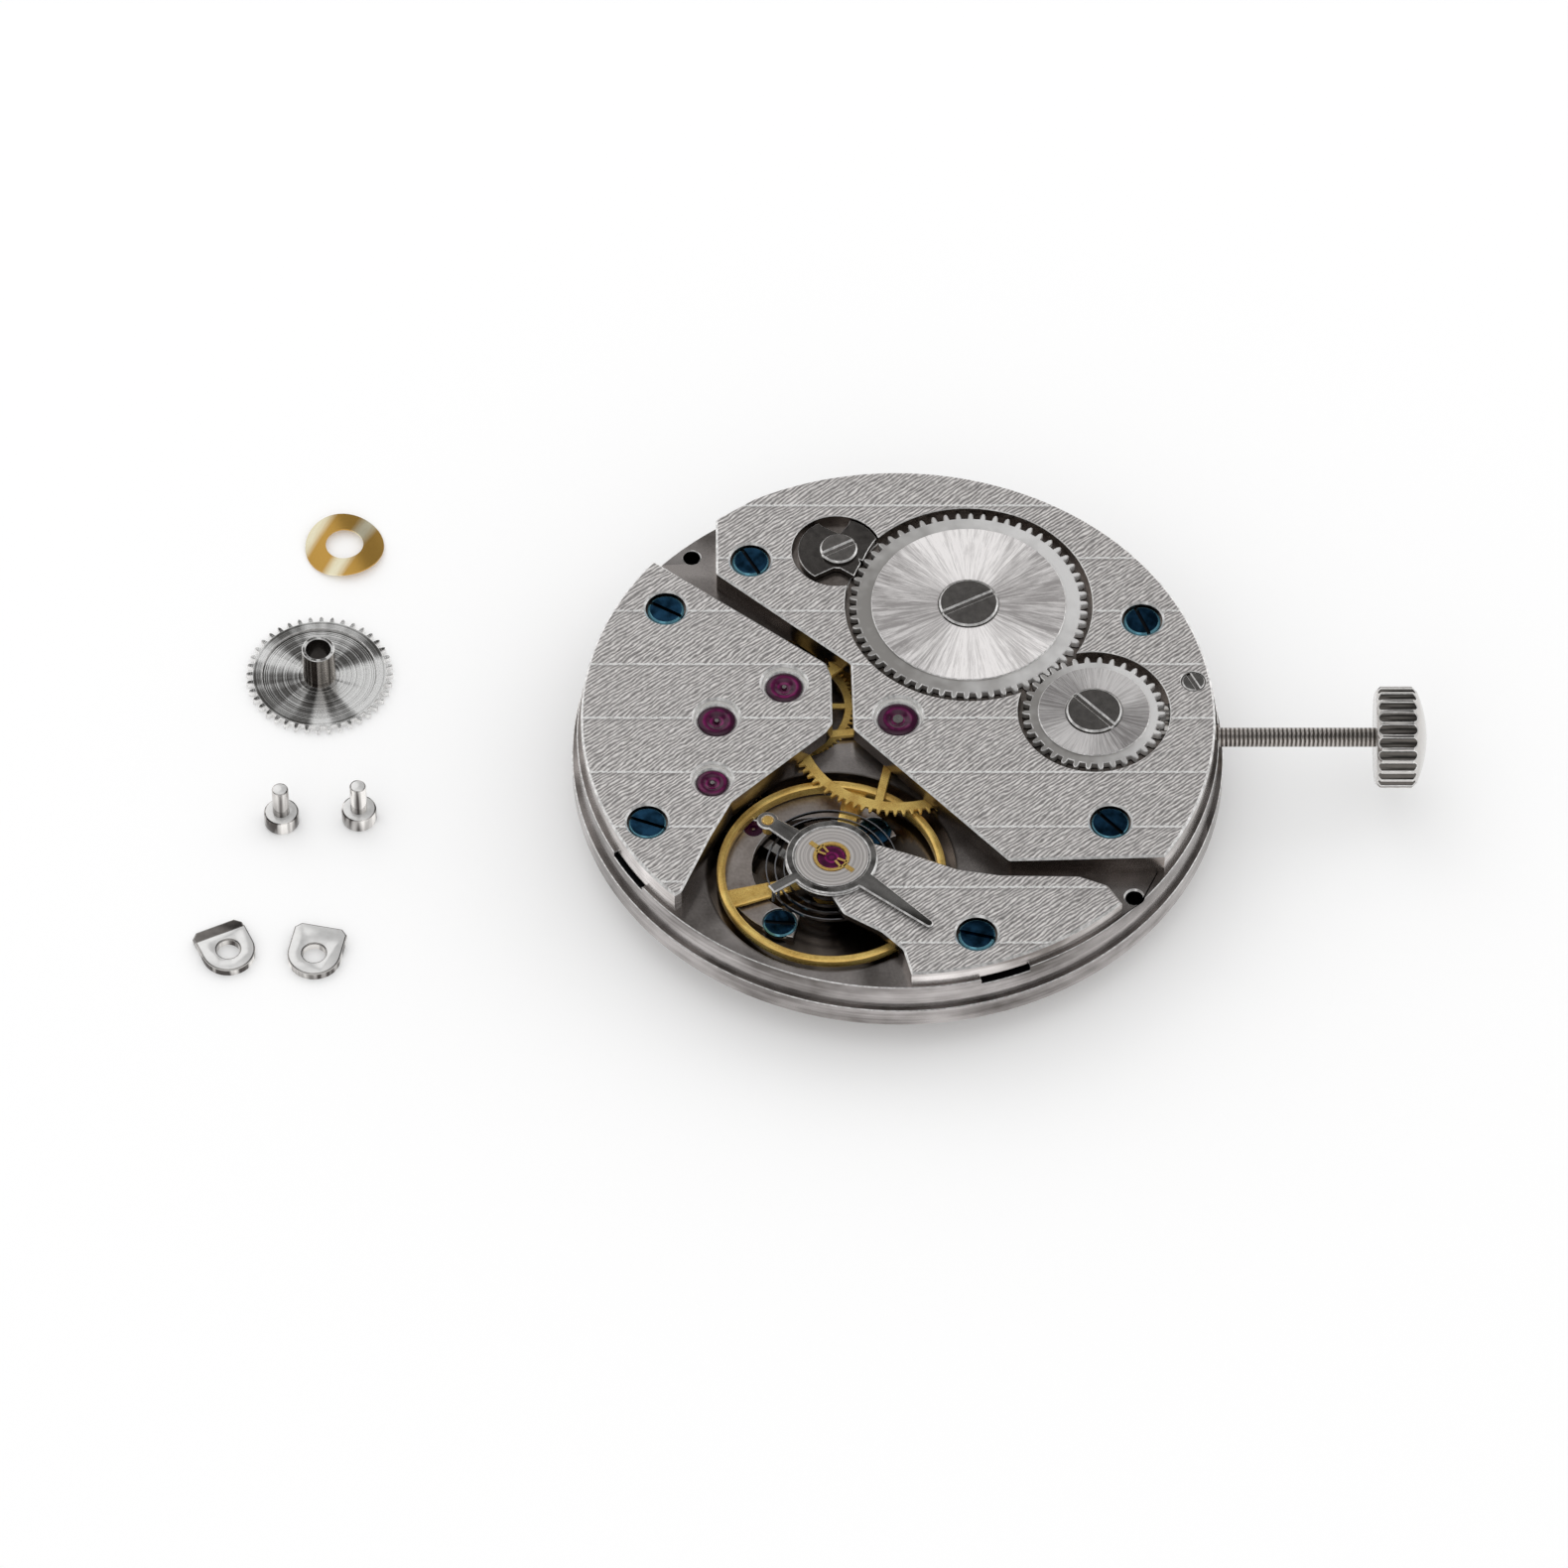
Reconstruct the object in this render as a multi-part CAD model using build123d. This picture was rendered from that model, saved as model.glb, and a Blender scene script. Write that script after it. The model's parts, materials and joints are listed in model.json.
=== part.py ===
from build123d import *
import math
import os

# A hand-wound mechanical watch movement, bridge side up, with its stem to the right (+X).
# The origin is the middle of the main plate on the face that the dial sits on, and +Z points to the bridges.
# All lengths are millimetres. The small parts that come loose with the movement lie to its left.

# Plate and bridge heights
case_radius = 18.3
flange_width = 0.3
flange_radius = case_radius + flange_width
flange_height = 1.25
seat_height = 3.0
wheel_lift = 0.15
cock_relief = 0.5
bridge_thickness = 1.5
cock_thickness = 1.0
bridge_inset = 0.25
edge_bevel = 0.12
overrun = 0.6
table_drop = 2.2

# Running and fitting clearances
pivot_play = 0.02
shaft_play = 0.03
gap_small = 0.05
gap_wheel = 0.12
sink_gap = 0.28

# Centres of the going train, the balance and the winding wheels
barrel_x = 0.22404 * case_radius
barrel_y = 0.44809 * case_radius
third_x = -0.3541 * case_radius
third_y = 0.12732 * case_radius
fourth_x = -0.56393 * case_radius
fourth_y = -0.00656 * case_radius
escape_x = -0.5765 * case_radius
escape_y = -0.25137 * case_radius
balance_x = -0.2082 * case_radius
balance_y = -0.54809 * case_radius
ratchet_to_crown_degrees = -48.2

# Tooth and leaf counts
barrel_teeth = 80
centre_leaves = 12
centre_teeth = 80
third_leaves = 10
third_teeth = 75
fourth_leaves = 10
fourth_teeth = 80
escape_leaves = 8
escape_teeth = 15
ratchet_teeth = 58
crown_wheel_teeth = 34
winding_teeth = 14
cannon_leaves = 12
minute_teeth = 36
setting_teeth = 20
hour_teeth = 40

# Tooth shapes: share of a tooth step to each side, and modules above or below the pitch circle
wheel_tooth_shares = ((-0.29, -1.15), (-0.10, 0.85), (0.10, 0.85), (0.29, -1.15))
leaf_shares = ((-0.20, -1.25), (-0.15, 0.30), (-0.05, 0.75), (0.05, 0.75), (0.15, 0.30), (0.20, -1.25))
winding_tooth_shares = ((-0.25, -1.0), (-0.19, 0.2), (-0.07, 0.8), (0.07, 0.8), (0.19, 0.2), (0.25, -1.0))

# Barrel
drum_floor = 0.45 * seat_height
drum_tooth_height = 0.40
drum_wall = 0.42
drum_base = 0.15
drum_top = 0.96 * seat_height
cover_thickness = 0.16
cover_ledge = 0.22
drum_tooth_land = 0.42
arbor_pivot_radius = 0.90
arbor_core_radius = 1.45
arbor_square = 1.5
arbor_foot = 0.95
arbor_play = 0.04
sink_floor = 0.38333 * seat_height
train_floor = 0.35 * seat_height
mainspring_thickness = 0.18
mainspring_pitch = 0.04153 * case_radius
mainspring_turns = 6

# Winding wheels on top of the barrel bridge
winding_module = 0.01257 * case_radius
winding_recess_depth = 0.6
winding_wheel_lift = 0.06
ratchet_disc_radius = 0.30601 * case_radius
crown_disc_radius = 0.17486 * case_radius
tooth_step_down = 0.12
recess_gap = 0.26
ratchet_head_radius = 1.70
crown_head_radius = 1.58
winding_head_height = 0.28
winding_head_sink = 0.16
winding_screw_shank = 0.45
ratchet_slot_degrees = 28
crown_slot_degrees = -38
core_radius = 1.15
core_play = 0.04

# Click work
click_recess_x = -0.18907 * case_radius
click_recess_y = 0.66339 * case_radius
click_recess_radius = 0.14208 * case_radius
click_recess_depth = 0.55
click_thickness = 0.36
click_screw_radius = 1.08
click_screw_sink = 0.12
click_post_radius = 0.5
click_tip_gap = 0.06
click_hub_radius = 1.30
click_beak_degrees = -56.6
click_beak_width = 0.20
click_lift_degrees = 9
click_spring_width = 0.16
click_spring_height = 0.22
click_slot_degrees = 33
click_notch_shares = ((0.02, 0.48), (-0.38, 0.72), (-0.75, 1.10), (0.35, 1.20), (0.21, 0.74))
click_foot_shares = ((-0.90, -1.30), (-0.565, -0.754), (-0.165, -0.52), (0.44, -0.24), (1.2, -0.66), (1.2, -1.3))
click_flat_degrees = 268

# Train levels: where each wheel lies and how thick it is
centre_wheel_level = seat_height + wheel_lift
centre_wheel_thickness = 0.20
third_wheel_level = 0.76667 * seat_height
fourth_wheel_level = 0.4 * seat_height
escape_wheel_level = 0.53333 * seat_height
train_wheel_thickness = 0.15
centre_rim_width = 0.62
train_rim_width = 0.45
arm_width = 0.50
thin_arm_width = 0.34
centre_arm_degrees = -102
fourth_arm_degrees = 20
hub_extra = 0.42
centre_seat_radius = 0.60
third_seat_radius = 0.50
fourth_seat_radius = 0.42
escape_seat_radius = 0.30
pivot_radius = 0.12
centre_pivot_radius = 0.30
centre_lower_radius = 0.36
slim_arbor_radius = 0.20
stout_arbor_radius = 0.30
pinion_reach = 0.30
seconds_radius = 0.15
seconds_journal_radius = 0.34
seconds_post_drop = 1.4
lower_hole_radius = 0.40
underside_recess = 0.45

# Jewels: outer radius, thickness and how far they lie below the bridge's top
centre_jewel_radius = 1.15
third_jewel_radius = 1.05
fourth_jewel_radius = 1.08
escape_jewel_radius = 0.92
pallet_jewel_radius = 0.55
jewel_thickness = 0.40
jewel_sink = 0.30
lower_jewel_thickness = 0.28
lower_jewel_radius = 0.70
oil_cup_share = 0.45
oil_cup_depth = 0.12

# Screws that hold the bridges
bridge_screw_head = 1.05
bridge_screw_height = 0.45
bridge_screw_shank = 0.45
bridge_screw_recess_depth = 0.60
bridge_screw_length = 1.9
bridge_screw_clearance = 0.12
screw_slot_width = 0.22
screw_slot_share = 0.45
small_screw_head = 0.66
small_screw_height = 0.30
small_screw_shank = 0.32

# Escapement
escape_tip_radius = 0.14208 * case_radius
escape_root_radius = 0.11202 * case_radius
escape_rim_inner = 0.09399 * case_radius
club_back_share = 0.55
club_heel_share = 0.985
club_land_share = 0.16
club_root_share = 0.12
pallet_reach = 0.16393 * case_radius
fork_thickness = 0.20
fork_width = 0.30
fork_end_width = 0.95
fork_slot_width = 0.34
fork_slot_depth = 0.42
fork_end_clearance = 0.95
stone_width = 0.28
stone_length = 0.95
stone_height = 0.34
stone_angle_degrees = 30
stone_gap = 0.15
pallet_arbor_radius = 0.18
pallet_pivot_radius = 0.08
escape_pocket_gap = 0.35
pallet_bridge_seat = 0.66667 * seat_height
pallet_bridge_thickness = 0.4
pallet_bridge_radius = 0.23661 * case_radius
pallet_bridge_offset = 0.07158 * case_radius
pallet_bridge_width = 0.0929 * case_radius
pallet_bridge_half_degrees = 116
pallet_screw_head = 0.95

# Balance
balance_radius = 0.35519 * case_radius
balance_rim_width = 0.52
balance_level = 0.83333 * seat_height
balance_rim_height = 0.55
balance_arm_level = balance_level + gap_small
balance_arm_thickness = 0.20
balance_arm_root = 0.62
balance_arm_tip = 1.35
balance_hub_radius = 0.85
balance_arm_degrees = (77, 197, 317)
staff_radius = 0.35
staff_pivot_radius = 0.06
roller_radius = 1.35
safety_roller_radius = 0.62
roller_level = 0.65 * seat_height
roller_thickness = 0.16
impulse_radius = 0.98
impulse_pin_radius = 0.12
impulse_pin_gap = 0.03
collet_radius = 0.62
hairspring_level = seat_height + wheel_lift
hairspring_height = 0.20
hairspring_thickness = 0.07
hairspring_pitch = 0.02732 * case_radius
hairspring_turns = 7
balance_sink_radius = 0.38525 * case_radius
balance_sink_floor = 0.66667 * seat_height
roller_pocket_radius = 2.0

# Cock, shock setting, regulator and stud carrier
cock_underside = seat_height + cock_relief
shock_hole_radius = 1.20
shock_disc_radius = 2.10
shock_disc_height = 0.34
shock_bowl_radius = 1.02
shock_jewel_radius = 0.78
shock_jewel_thickness = 0.22
shock_spring_thickness = 0.07
lower_block_radius = 1.15
lower_block_low = 0.2
ring_play = 0.04
stud_ring_outer = 2.62
stud_ring_thickness = 0.13
regulator_ring_outer = 2.60
regulator_thickness = 0.14
regulator_pointer_degrees = -40.8
regulator_pointer_length = 0.39344 * case_radius
regulator_pointer_root = 1.3
regulator_pointer_tip = 0.5
curb_degrees = 213.9
curb_width = 0.62
curb_pin_radius = 0.09
stud_degrees = 142.7
stud_arm_width = 0.85
stud_radius = 0.30
stud_reach = 0.62

# Stem, crown and the winding pinions
stem_engagement = 0.334
stem_thread_radius = 0.55
stem_end_x = 1.48634 * case_radius
crown_radius = 2.90
crown_length = 2.95
crown_dome = 0.55
crown_flutes = 24
flute_share = 0.8
crown_chamfer = 0.30
crown_flute_depth = 0.20
stem_bearing_radius = 0.75
stem_neck_radius = 0.42
stem_neck_x = 0.88251 * case_radius
stem_neck_length = 0.60
stem_shoulder_radius = 0.62
stem_square = 0.76
stem_square_x = 0.54372 * case_radius
stem_pivot_radius = 0.34
stem_pivot_x = 0.47814 * case_radius
stem_pull = 0.90
winding_pinion_x = 0.81421 * case_radius
winding_pinion_tooth_length = 0.72
winding_pinion_hub_length = 1.20
winding_pinion_hub_radius = 1.05
breguet_depth = 0.30
breguet_teeth = 8
breguet_share = 0.22
sliding_pinion_x = 0.56557 * case_radius
sliding_pinion_radius = 1.05
sliding_groove_x = 0.62022 * case_radius
sliding_groove_width = 0.55
sliding_groove_radius = 0.74
setting_face_depth = 0.22
keyway_start_x = 0.5082 * case_radius
keyway_end_x = 0.87978 * case_radius
keyway_half_width = 0.08852 * case_radius
keyway_wide_half = 0.10492 * case_radius

# Motion work and keyless work on the dial side
motion_module = 0.0092896 * case_radius
cannon_leaf_height = 0.75
cannon_tube_radius = 0.70
cannon_seat_radius = 0.53
cannon_seat_length = 0.5
dial_recess_top = 0.90
dial_recess_depth_hour = 0.55
hour_recess_radius = 4.4
minute_level = 0.42
minute_thickness = 0.30
minute_post_radius = 0.35
hour_drive_leaves = 10
hour_drive_share = 0.30
setting_x = 0.40984 * case_radius
setting_level = 0.50
setting_thickness = 0.24 * seat_height
setting_post_radius = 0.45
pocket_gap = 0.18
keyless_floor = 0.85
lever_level = 0.36
lever_thickness = 0.32
lever_pivot_x = 0.92131 * case_radius
lever_pivot_y = 0.13661 * case_radius
lever_post_radius = 0.36
lever_pin_radius = 0.20
yoke_pivot_x = 0.6776 * case_radius
yoke_pivot_y = -0.25683 * case_radius
yoke_post_radius = 0.40
yoke_finger_radius = 0.20
yoke_width = 0.04098 * case_radius
yoke_arm_length = 0.09836 * case_radius
cover_level = 0.03
cover_plate_thickness = 0.24
keyless_screw_head = 0.55

# Loose parts on the table
hour_tip_radius = 4.25
hour_wheel_thickness = 0.42
hour_dish_depth = 0.16
hour_dish_share = 0.78
hour_tube_radius = 0.95
hour_tube_bore = 0.73
hour_tube_height = 2.27
hour_x = -33.35
hour_y = 8.1
washer_radius = 2.30
washer_hole = 1.10
washer_thickness = 0.10
washer_rise = 0.45
washer_bend_degrees = 24
washer_x = -32.15
washer_y = 17.8
case_screw_head = 1.0
case_screw_head_height = 0.95
case_screw_shank = 0.48
case_screw_length = 2.05
case_screw_places = ((-35.23, -2.43), (-30.8, -2.2))
clamp_width = 3.05
clamp_length = 3.5
clamp_thickness = 0.5
clamp_hole = 0.66
clamp_step = 0.2
clamp_corner = 0.35
clamp_places = ((-37.97, -11.96, 25.0), (-33.1, -12.24, -12.0))

# Mounting features of the plate
case_screw_hole = 0.50
case_screw_hole_depth = 1.8
dial_foot_hole = 0.50
dial_foot_depth = 1.7
dial_foot_ring = 0.86885 * case_radius
dial_foot_degrees = (33, 213)
pry_slot_length = 2.9
pry_slot_height = 0.40
pry_slot_depth = 0.8
pry_slot_degrees = (-71, -147)

# Outlines and places on the plate, as shares of the case radius
barrel_bridge_shares = (
    (-0.570, 0.793), (-0.300, 0.983), (1.2, 1.2), (1.2, 0.055), (1.03, 0.055),
    (0.914, -0.418), (0.837, -0.552), (0.338, -0.568),
    (-0.139, -0.050), (-0.146, 0.208), (-0.568, 0.572),
)
barrel_bridge_round_shares = (0.01, 0.0, 0.0, 0.0, 0.0, 0.03, 0.02, 0.02, 0.02, 0.02, 0.02)
train_bridge_shares = (
    (-0.768, 0.625), (-0.224, 0.212), (-0.207, 0.160), (-0.204, -0.028), (-0.224, -0.062),
    (-0.516, -0.336), (-0.583, -0.477), (-0.670, -0.690), (-0.716, -0.722), (-1.2, -0.60),
    (-1.2, 0.72),
)
train_bridge_round_shares = (0.0, 0.03, 0.03, 0.02, 0.03, 0.04, 0.05, 0.02, 0.02, 0.0, 0.0)
cock_shares = (
    (0.062, -0.530), (0.179, -0.579), (0.310, -0.602), (0.552, -0.606), (0.640, -0.642),
    (0.690, -0.722), (0.690, -1.1), (0.044, -1.1), (0.044, -1.02), (0.010, -0.890),
    (-0.055, -0.822), (-0.172, -0.751), (-0.230, -0.640), (-0.200, -0.545), (-0.100, -0.470),
)
cock_round_shares = (0.03, 0.03, 0.03, 0.03, 0.03, 0.02, 0.0, 0.0, 0.01, 0.02, 0.03, 0.03, 0.05, 0.04, 0.04)
bridge_screw_shares = ((-0.460, 0.627), (0.767, 0.387), (0.652, -0.416), (-0.725, 0.432), (-0.776, -0.416))
bridge_screw_turns = (-25, -20, -25, -15, -25)
cock_screw_share = (0.236, -0.829)
cock_screw_turn = -35
pallet_screw_shares = ((-0.367, -0.722), (-0.075, -0.366))
pallet_screw_turns = (-30, -30)
case_hole_shares = ((-0.646, 0.702), (0.723, -0.649))

# Sizes that follow from the ones above
bridge_top = seat_height + bridge_thickness
cock_top = seat_height + cock_thickness
bridge_radius = case_radius - bridge_inset
centre = (0, 0)
barrel = (barrel_x, barrel_y)
third = (third_x, third_y)
fourth = (fourth_x, fourth_y)
escape = (escape_x, escape_y)
balance = (balance_x, balance_y)
table_level = -table_drop
click_pivot = (click_recess_x + gap_wheel, click_recess_y + gap_wheel)
lever_pivot = (lever_pivot_x, lever_pivot_y)
ratchet_head_seat = bridge_top - winding_head_sink
crown_head_seat = bridge_top - winding_head_sink
cannon_low = table_level
cannon_high = dial_recess_top - gap_small
pallet_jewel_low = sink_floor - lower_jewel_thickness
staff_top = cock_top + shock_disc_height - shock_jewel_thickness
stud_ring_low = cock_top + gap_small
regulator_low = stud_ring_low + stud_ring_thickness + gap_small / 2


def share_radius(spacing, own, other):
    """Pitch radius of a gear with own teeth, meshed at this spacing with a gear of other teeth."""
    return spacing * own / (own + other)


def toward(start, end):
    """Angle from one point to another, in radians."""
    return math.atan2(end[1] - start[1], end[0] - start[0])


def polar(origin, radius, angle):
    """Point at a radius and an angle in radians from an origin."""
    return (origin[0] + radius * math.cos(angle), origin[1] + radius * math.sin(angle))


def meshing_phase(phase, own, direction, other):
    """Angle of a tooth of a gear of other teeth that meshes, in that direction, with a gear that has own teeth."""
    step = 2 * math.pi / own
    past = (phase - direction) % step
    return direction + math.pi - past * own / other + math.pi / other


def crossing(first, first_reach, second, second_reach, side):
    """Point at given distances from two points, on one side of the line between them."""
    span = math.dist(first, second)
    along = (first_reach ** 2 - second_reach ** 2 + span ** 2) / (2 * span)
    across = side * math.sqrt(first_reach ** 2 - along ** 2)
    way = toward(first, second)
    foot = polar(first, along, way)
    return polar(foot, across, way + math.pi / 2)


# Pitch radii, from the spacing of the centres
barrel_pitch = share_radius(math.dist(barrel, centre), barrel_teeth, centre_leaves)
centre_leaf_pitch = share_radius(math.dist(barrel, centre), centre_leaves, barrel_teeth)
centre_pitch = share_radius(math.dist(centre, third), centre_teeth, third_leaves)
third_leaf_pitch = share_radius(math.dist(centre, third), third_leaves, centre_teeth)
third_pitch = share_radius(math.dist(third, fourth), third_teeth, fourth_leaves)
fourth_leaf_pitch = share_radius(math.dist(third, fourth), fourth_leaves, third_teeth)
fourth_pitch = share_radius(math.dist(fourth, escape), fourth_teeth, escape_leaves)
escape_leaf_pitch = share_radius(math.dist(fourth, escape), escape_leaves, fourth_teeth)
ratchet_pitch = winding_module * ratchet_teeth / 2
crown_wheel_pitch = winding_module * crown_wheel_teeth / 2
winding_pitch = winding_module * winding_teeth / 2
crown_wheel = polar(barrel, ratchet_pitch + crown_wheel_pitch, math.radians(ratchet_to_crown_degrees))
cannon_pitch = motion_module * cannon_leaves / 2
minute_pitch = motion_module * minute_teeth / 2
setting_pitch = motion_module * setting_teeth / 2
setting = (setting_x, 0)
minute = crossing(centre, cannon_pitch + minute_pitch, setting, setting_pitch + minute_pitch, -1)
pallet_way = toward(escape, balance)
pallet = polar(escape, pallet_reach, pallet_way)
winding_floor = bridge_top - winding_recess_depth
winding_wheel_low = winding_floor + winding_wheel_lift

# Phases: each wheel has a tooth on the line to the pinion that it drives
barrel_phase = toward(barrel, centre)
centre_leaf_phase = meshing_phase(barrel_phase, barrel_teeth, barrel_phase, centre_leaves)
centre_phase = toward(centre, third)
third_leaf_phase = meshing_phase(centre_phase, centre_teeth, centre_phase, third_leaves)
third_phase = toward(third, fourth)
fourth_leaf_phase = meshing_phase(third_phase, third_teeth, third_phase, fourth_leaves)
fourth_phase = toward(fourth, escape)
escape_leaf_phase = meshing_phase(fourth_phase, fourth_teeth, fourth_phase, escape_leaves)
ratchet_phase = toward(barrel, crown_wheel)
crown_phase = meshing_phase(ratchet_phase, ratchet_teeth, ratchet_phase, crown_wheel_teeth)
minute_phase = toward(minute, centre)
cannon_phase = meshing_phase(minute_phase, minute_teeth, minute_phase, cannon_leaves)
setting_phase = meshing_phase(minute_phase, minute_teeth, toward(minute, setting), setting_teeth)
escape_phase = pallet_way + math.pi / escape_teeth


def tip_of(pitch_radius, count, form):
    """Tip radius of a gear of this form."""
    return pitch_radius * (1 + 2 * max(offset for _, offset in form) / count)


def rod(radius, low, high, at=(0, 0)):
    """Upright round bar between two heights."""
    return Pos(at[0], at[1], low) * Cylinder(radius, high - low, align=(Align.CENTER, Align.CENTER, Align.MIN))


def tube(outer, inner, low, high, at=(0, 0)):
    """Upright ring between two heights."""
    return rod(outer, low, high, at) - rod(inner, low - overrun, high + overrun, at)


def stack(at, *steps):
    """Turned piece made of (radius, low, high) steps on one axis."""
    whole = rod(*steps[0], at)
    for step in steps[1:]:
        whole = whole + rod(*step, at)
    return whole


def block(low, high):
    """Box between two corners."""
    size = [high[i] - low[i] for i in range(3)]
    return Pos(*low) * Box(*size, align=(Align.MIN, Align.MIN, Align.MIN))


def prism(points, low, high):
    """Upright block with a straight-sided outline."""
    face = make_face(Polyline(*points, close=True))
    return Pos(0, 0, low) * extrude(face, amount=high - low, dir=(0, 0, 1))


def soft_prism(points, radii, low, high):
    """Upright block whose outline has rounded corners."""
    face = make_face(FilletPolyline(*points, radius=radii, close=True))
    return Pos(0, 0, low) * extrude(face, amount=high - low, dir=(0, 0, 1))


def bar(origin, angle, start, end, start_width, end_width, low, high):
    """Tapered flat arm that runs outwards from an origin at an angle in radians."""
    near = polar(origin, start, angle)
    far = polar(origin, end, angle)
    side = angle + math.pi / 2
    points = (
        polar(near, start_width / 2, side), polar(near, -start_width / 2, side),
        polar(far, -end_width / 2, side), polar(far, end_width / 2, side),
    )
    return prism(points, low, high)


def scaled(shares):
    """Places on the plate from shares of the case radius."""
    return [(x * case_radius, y * case_radius) for x, y in shares]


def toothed(at, count, pitch_radius, phase, form, low, high):
    """Solid toothed blank."""
    module = 2 * pitch_radius / count
    step = 2 * math.pi / count
    points = [
        polar(at, pitch_radius + offset * module, phase + (tooth + share) * step)
        for tooth in range(count)
        for share, offset in form
    ]
    return prism(points, low, high)


def spoked(blank, at, rim_inner, hub, arms, width, phase, low, high):
    """Cuts the windows between the arms of a wheel."""
    window = tube(rim_inner, hub, low - overrun, high + overrun, at)
    for arm in range(arms):
        turn = phase + 2 * math.pi * arm / arms
        window = window - bar(at, turn, 0, rim_inner + overrun, width, width, low - overrun, high + overrun)
    return blank - window


def slotted_screw(at, seat, head, height, shank, length, turn):
    """Cheese-head screw with its slot turned by an angle in degrees."""
    body = rod(head, seat, seat + height, at) + rod(shank, seat - length, seat, at)
    slot_low = seat + height * (1 - screw_slot_share)
    angle = math.radians(turn)
    reach = head + overrun
    return body - bar(at, angle, -reach, reach, screw_slot_width, screw_slot_width, slot_low, seat + height + overrun)


def spiral(origin, start, pitch, half_turns, first_angle, thickness, low, high):
    """Flat spiral strip made of half-circle arcs, each a step wider than the last."""
    def edge_arcs(shift):
        arcs = []
        here = origin
        radius = start + shift
        for half in range(half_turns):
            angle = math.radians(first_angle) + math.pi * half
            begin = polar(here, radius, angle)
            middle = polar(here, radius, angle + math.pi / 2)
            finish = polar(here, radius, angle + math.pi)
            arcs.append(ThreePointArc(begin, middle, finish))
            growth = pitch / 2
            here = polar(here, growth, angle)
            radius = radius + growth
        return arcs
    outer = edge_arcs(thickness / 2)
    inner = edge_arcs(-thickness / 2)
    start_line = Line(inner[0] @ 0, outer[0] @ 0)
    end_line = Line(outer[-1] @ 1, inner[-1] @ 1)
    face = make_face([*outer, end_line, *inner, start_line])
    return Pos(0, 0, low) * extrude(face, amount=high - low, dir=(0, 0, 1))


def upper_seats():
    """Jewel places in the bridges: centre, jewel radius."""
    return (
        (centre, centre_jewel_radius), (third, third_jewel_radius),
        (fourth, fourth_jewel_radius), (escape, escape_jewel_radius),
    )


def jewel(at, radius, hole, low, high, cup_up):
    """Ruby bearing with an oil cup on one side."""
    stone = tube(radius, hole + pivot_play, low, high, at)
    if cup_up:
        return stone - rod(radius * oil_cup_share, high - oil_cup_depth, high + overrun, at)
    return stone - rod(radius * oil_cup_share, low - overrun, low + oil_cup_depth, at)


stem_height = winding_wheel_low + stem_engagement - tip_of(winding_pitch, winding_teeth, winding_tooth_shares)
crown_screw_low = stem_height + sliding_pinion_radius + 2 * gap_wheel
jewel_top = bridge_top - jewel_sink
jewel_low = jewel_top - jewel_thickness
lower_jewel_top = train_floor - gap_small
lower_jewel_low = lower_jewel_top - lower_jewel_thickness
centre_jewel_low = dial_recess_top + pivot_play


def stem_bar(radius, start, end):
    """Round bar along the stem axis between two places on X."""
    return Pos(start, 0, stem_height) * Rot(0, 90, 0) * Cylinder(
        radius, end - start, align=(Align.CENTER, Align.CENTER, Align.MIN))


def keyless_cut():
    """Room for the winding and sliding pinions, which passes the dial side of the plate."""
    narrow = block((keyway_start_x, -keyway_half_width, -overrun),
                   (keyway_end_x, keyway_half_width, seat_height + overrun))
    wide = block((winding_pinion_x - winding_pinion_hub_length, -keyway_wide_half, -overrun),
                 (keyway_end_x, keyway_wide_half, seat_height + overrun))
    return narrow + wide


def lever_pin_cut():
    """Slot in the plate for the setting lever's pin."""
    half = lever_pin_radius + gap_wheel
    return block((keyway_end_x - overrun, -half, -overrun),
                 (stem_neck_x + stem_neck_length + stem_pull + gap_small, half, stem_height))


def stem_bore():
    """Bore for the stem, through the plate's rim and along the pivot."""
    bearing = stem_bar(stem_bearing_radius + shaft_play, keyway_end_x - overrun, flange_radius + overrun)
    pivot = stem_bar(stem_pivot_radius + shaft_play, stem_pivot_x - gap_small, keyway_start_x + overrun)
    return bearing + pivot


def keyless_recess():
    """Shallow room on the dial side for yoke, setting lever and their cover."""
    points = (
        (yoke_pivot_x - yoke_arm_length - yoke_width, yoke_pivot_y - yoke_width - overrun),
        (lever_pivot_x - yoke_width, yoke_pivot_y - yoke_width - overrun),
        (lever_pivot_x, -keyway_wide_half),
        (case_radius - yoke_width, -yoke_width),
        (case_radius - yoke_width, lever_pivot_y + yoke_width),
        (lever_pivot_x - yoke_arm_length, lever_pivot_y + yoke_width + overrun),
        (keyway_start_x + yoke_width, keyway_wide_half),
        (keyway_start_x + yoke_width, -keyway_wide_half),
    )
    return prism(points, -overrun, keyless_floor)


def motion_recess():
    """Round rooms on the dial side for hour wheel, minute wheel and setting wheel."""
    hour = rod(hour_recess_radius, -overrun, dial_recess_depth_hour)
    cannon = rod(tip_of(cannon_pitch, cannon_leaves, leaf_shares) + pocket_gap, -overrun, dial_recess_top)
    minute_room = rod(tip_of(minute_pitch, minute_teeth, wheel_tooth_shares) + pocket_gap, -overrun,
                      dial_recess_top - gap_small, minute)
    setting_top = setting_level + setting_thickness + gap_small
    setting_room = rod(tip_of(setting_pitch, setting_teeth, wheel_tooth_shares) + pocket_gap, -overrun,
                       setting_top, setting)
    return hour + cannon + minute_room + setting_room


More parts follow.
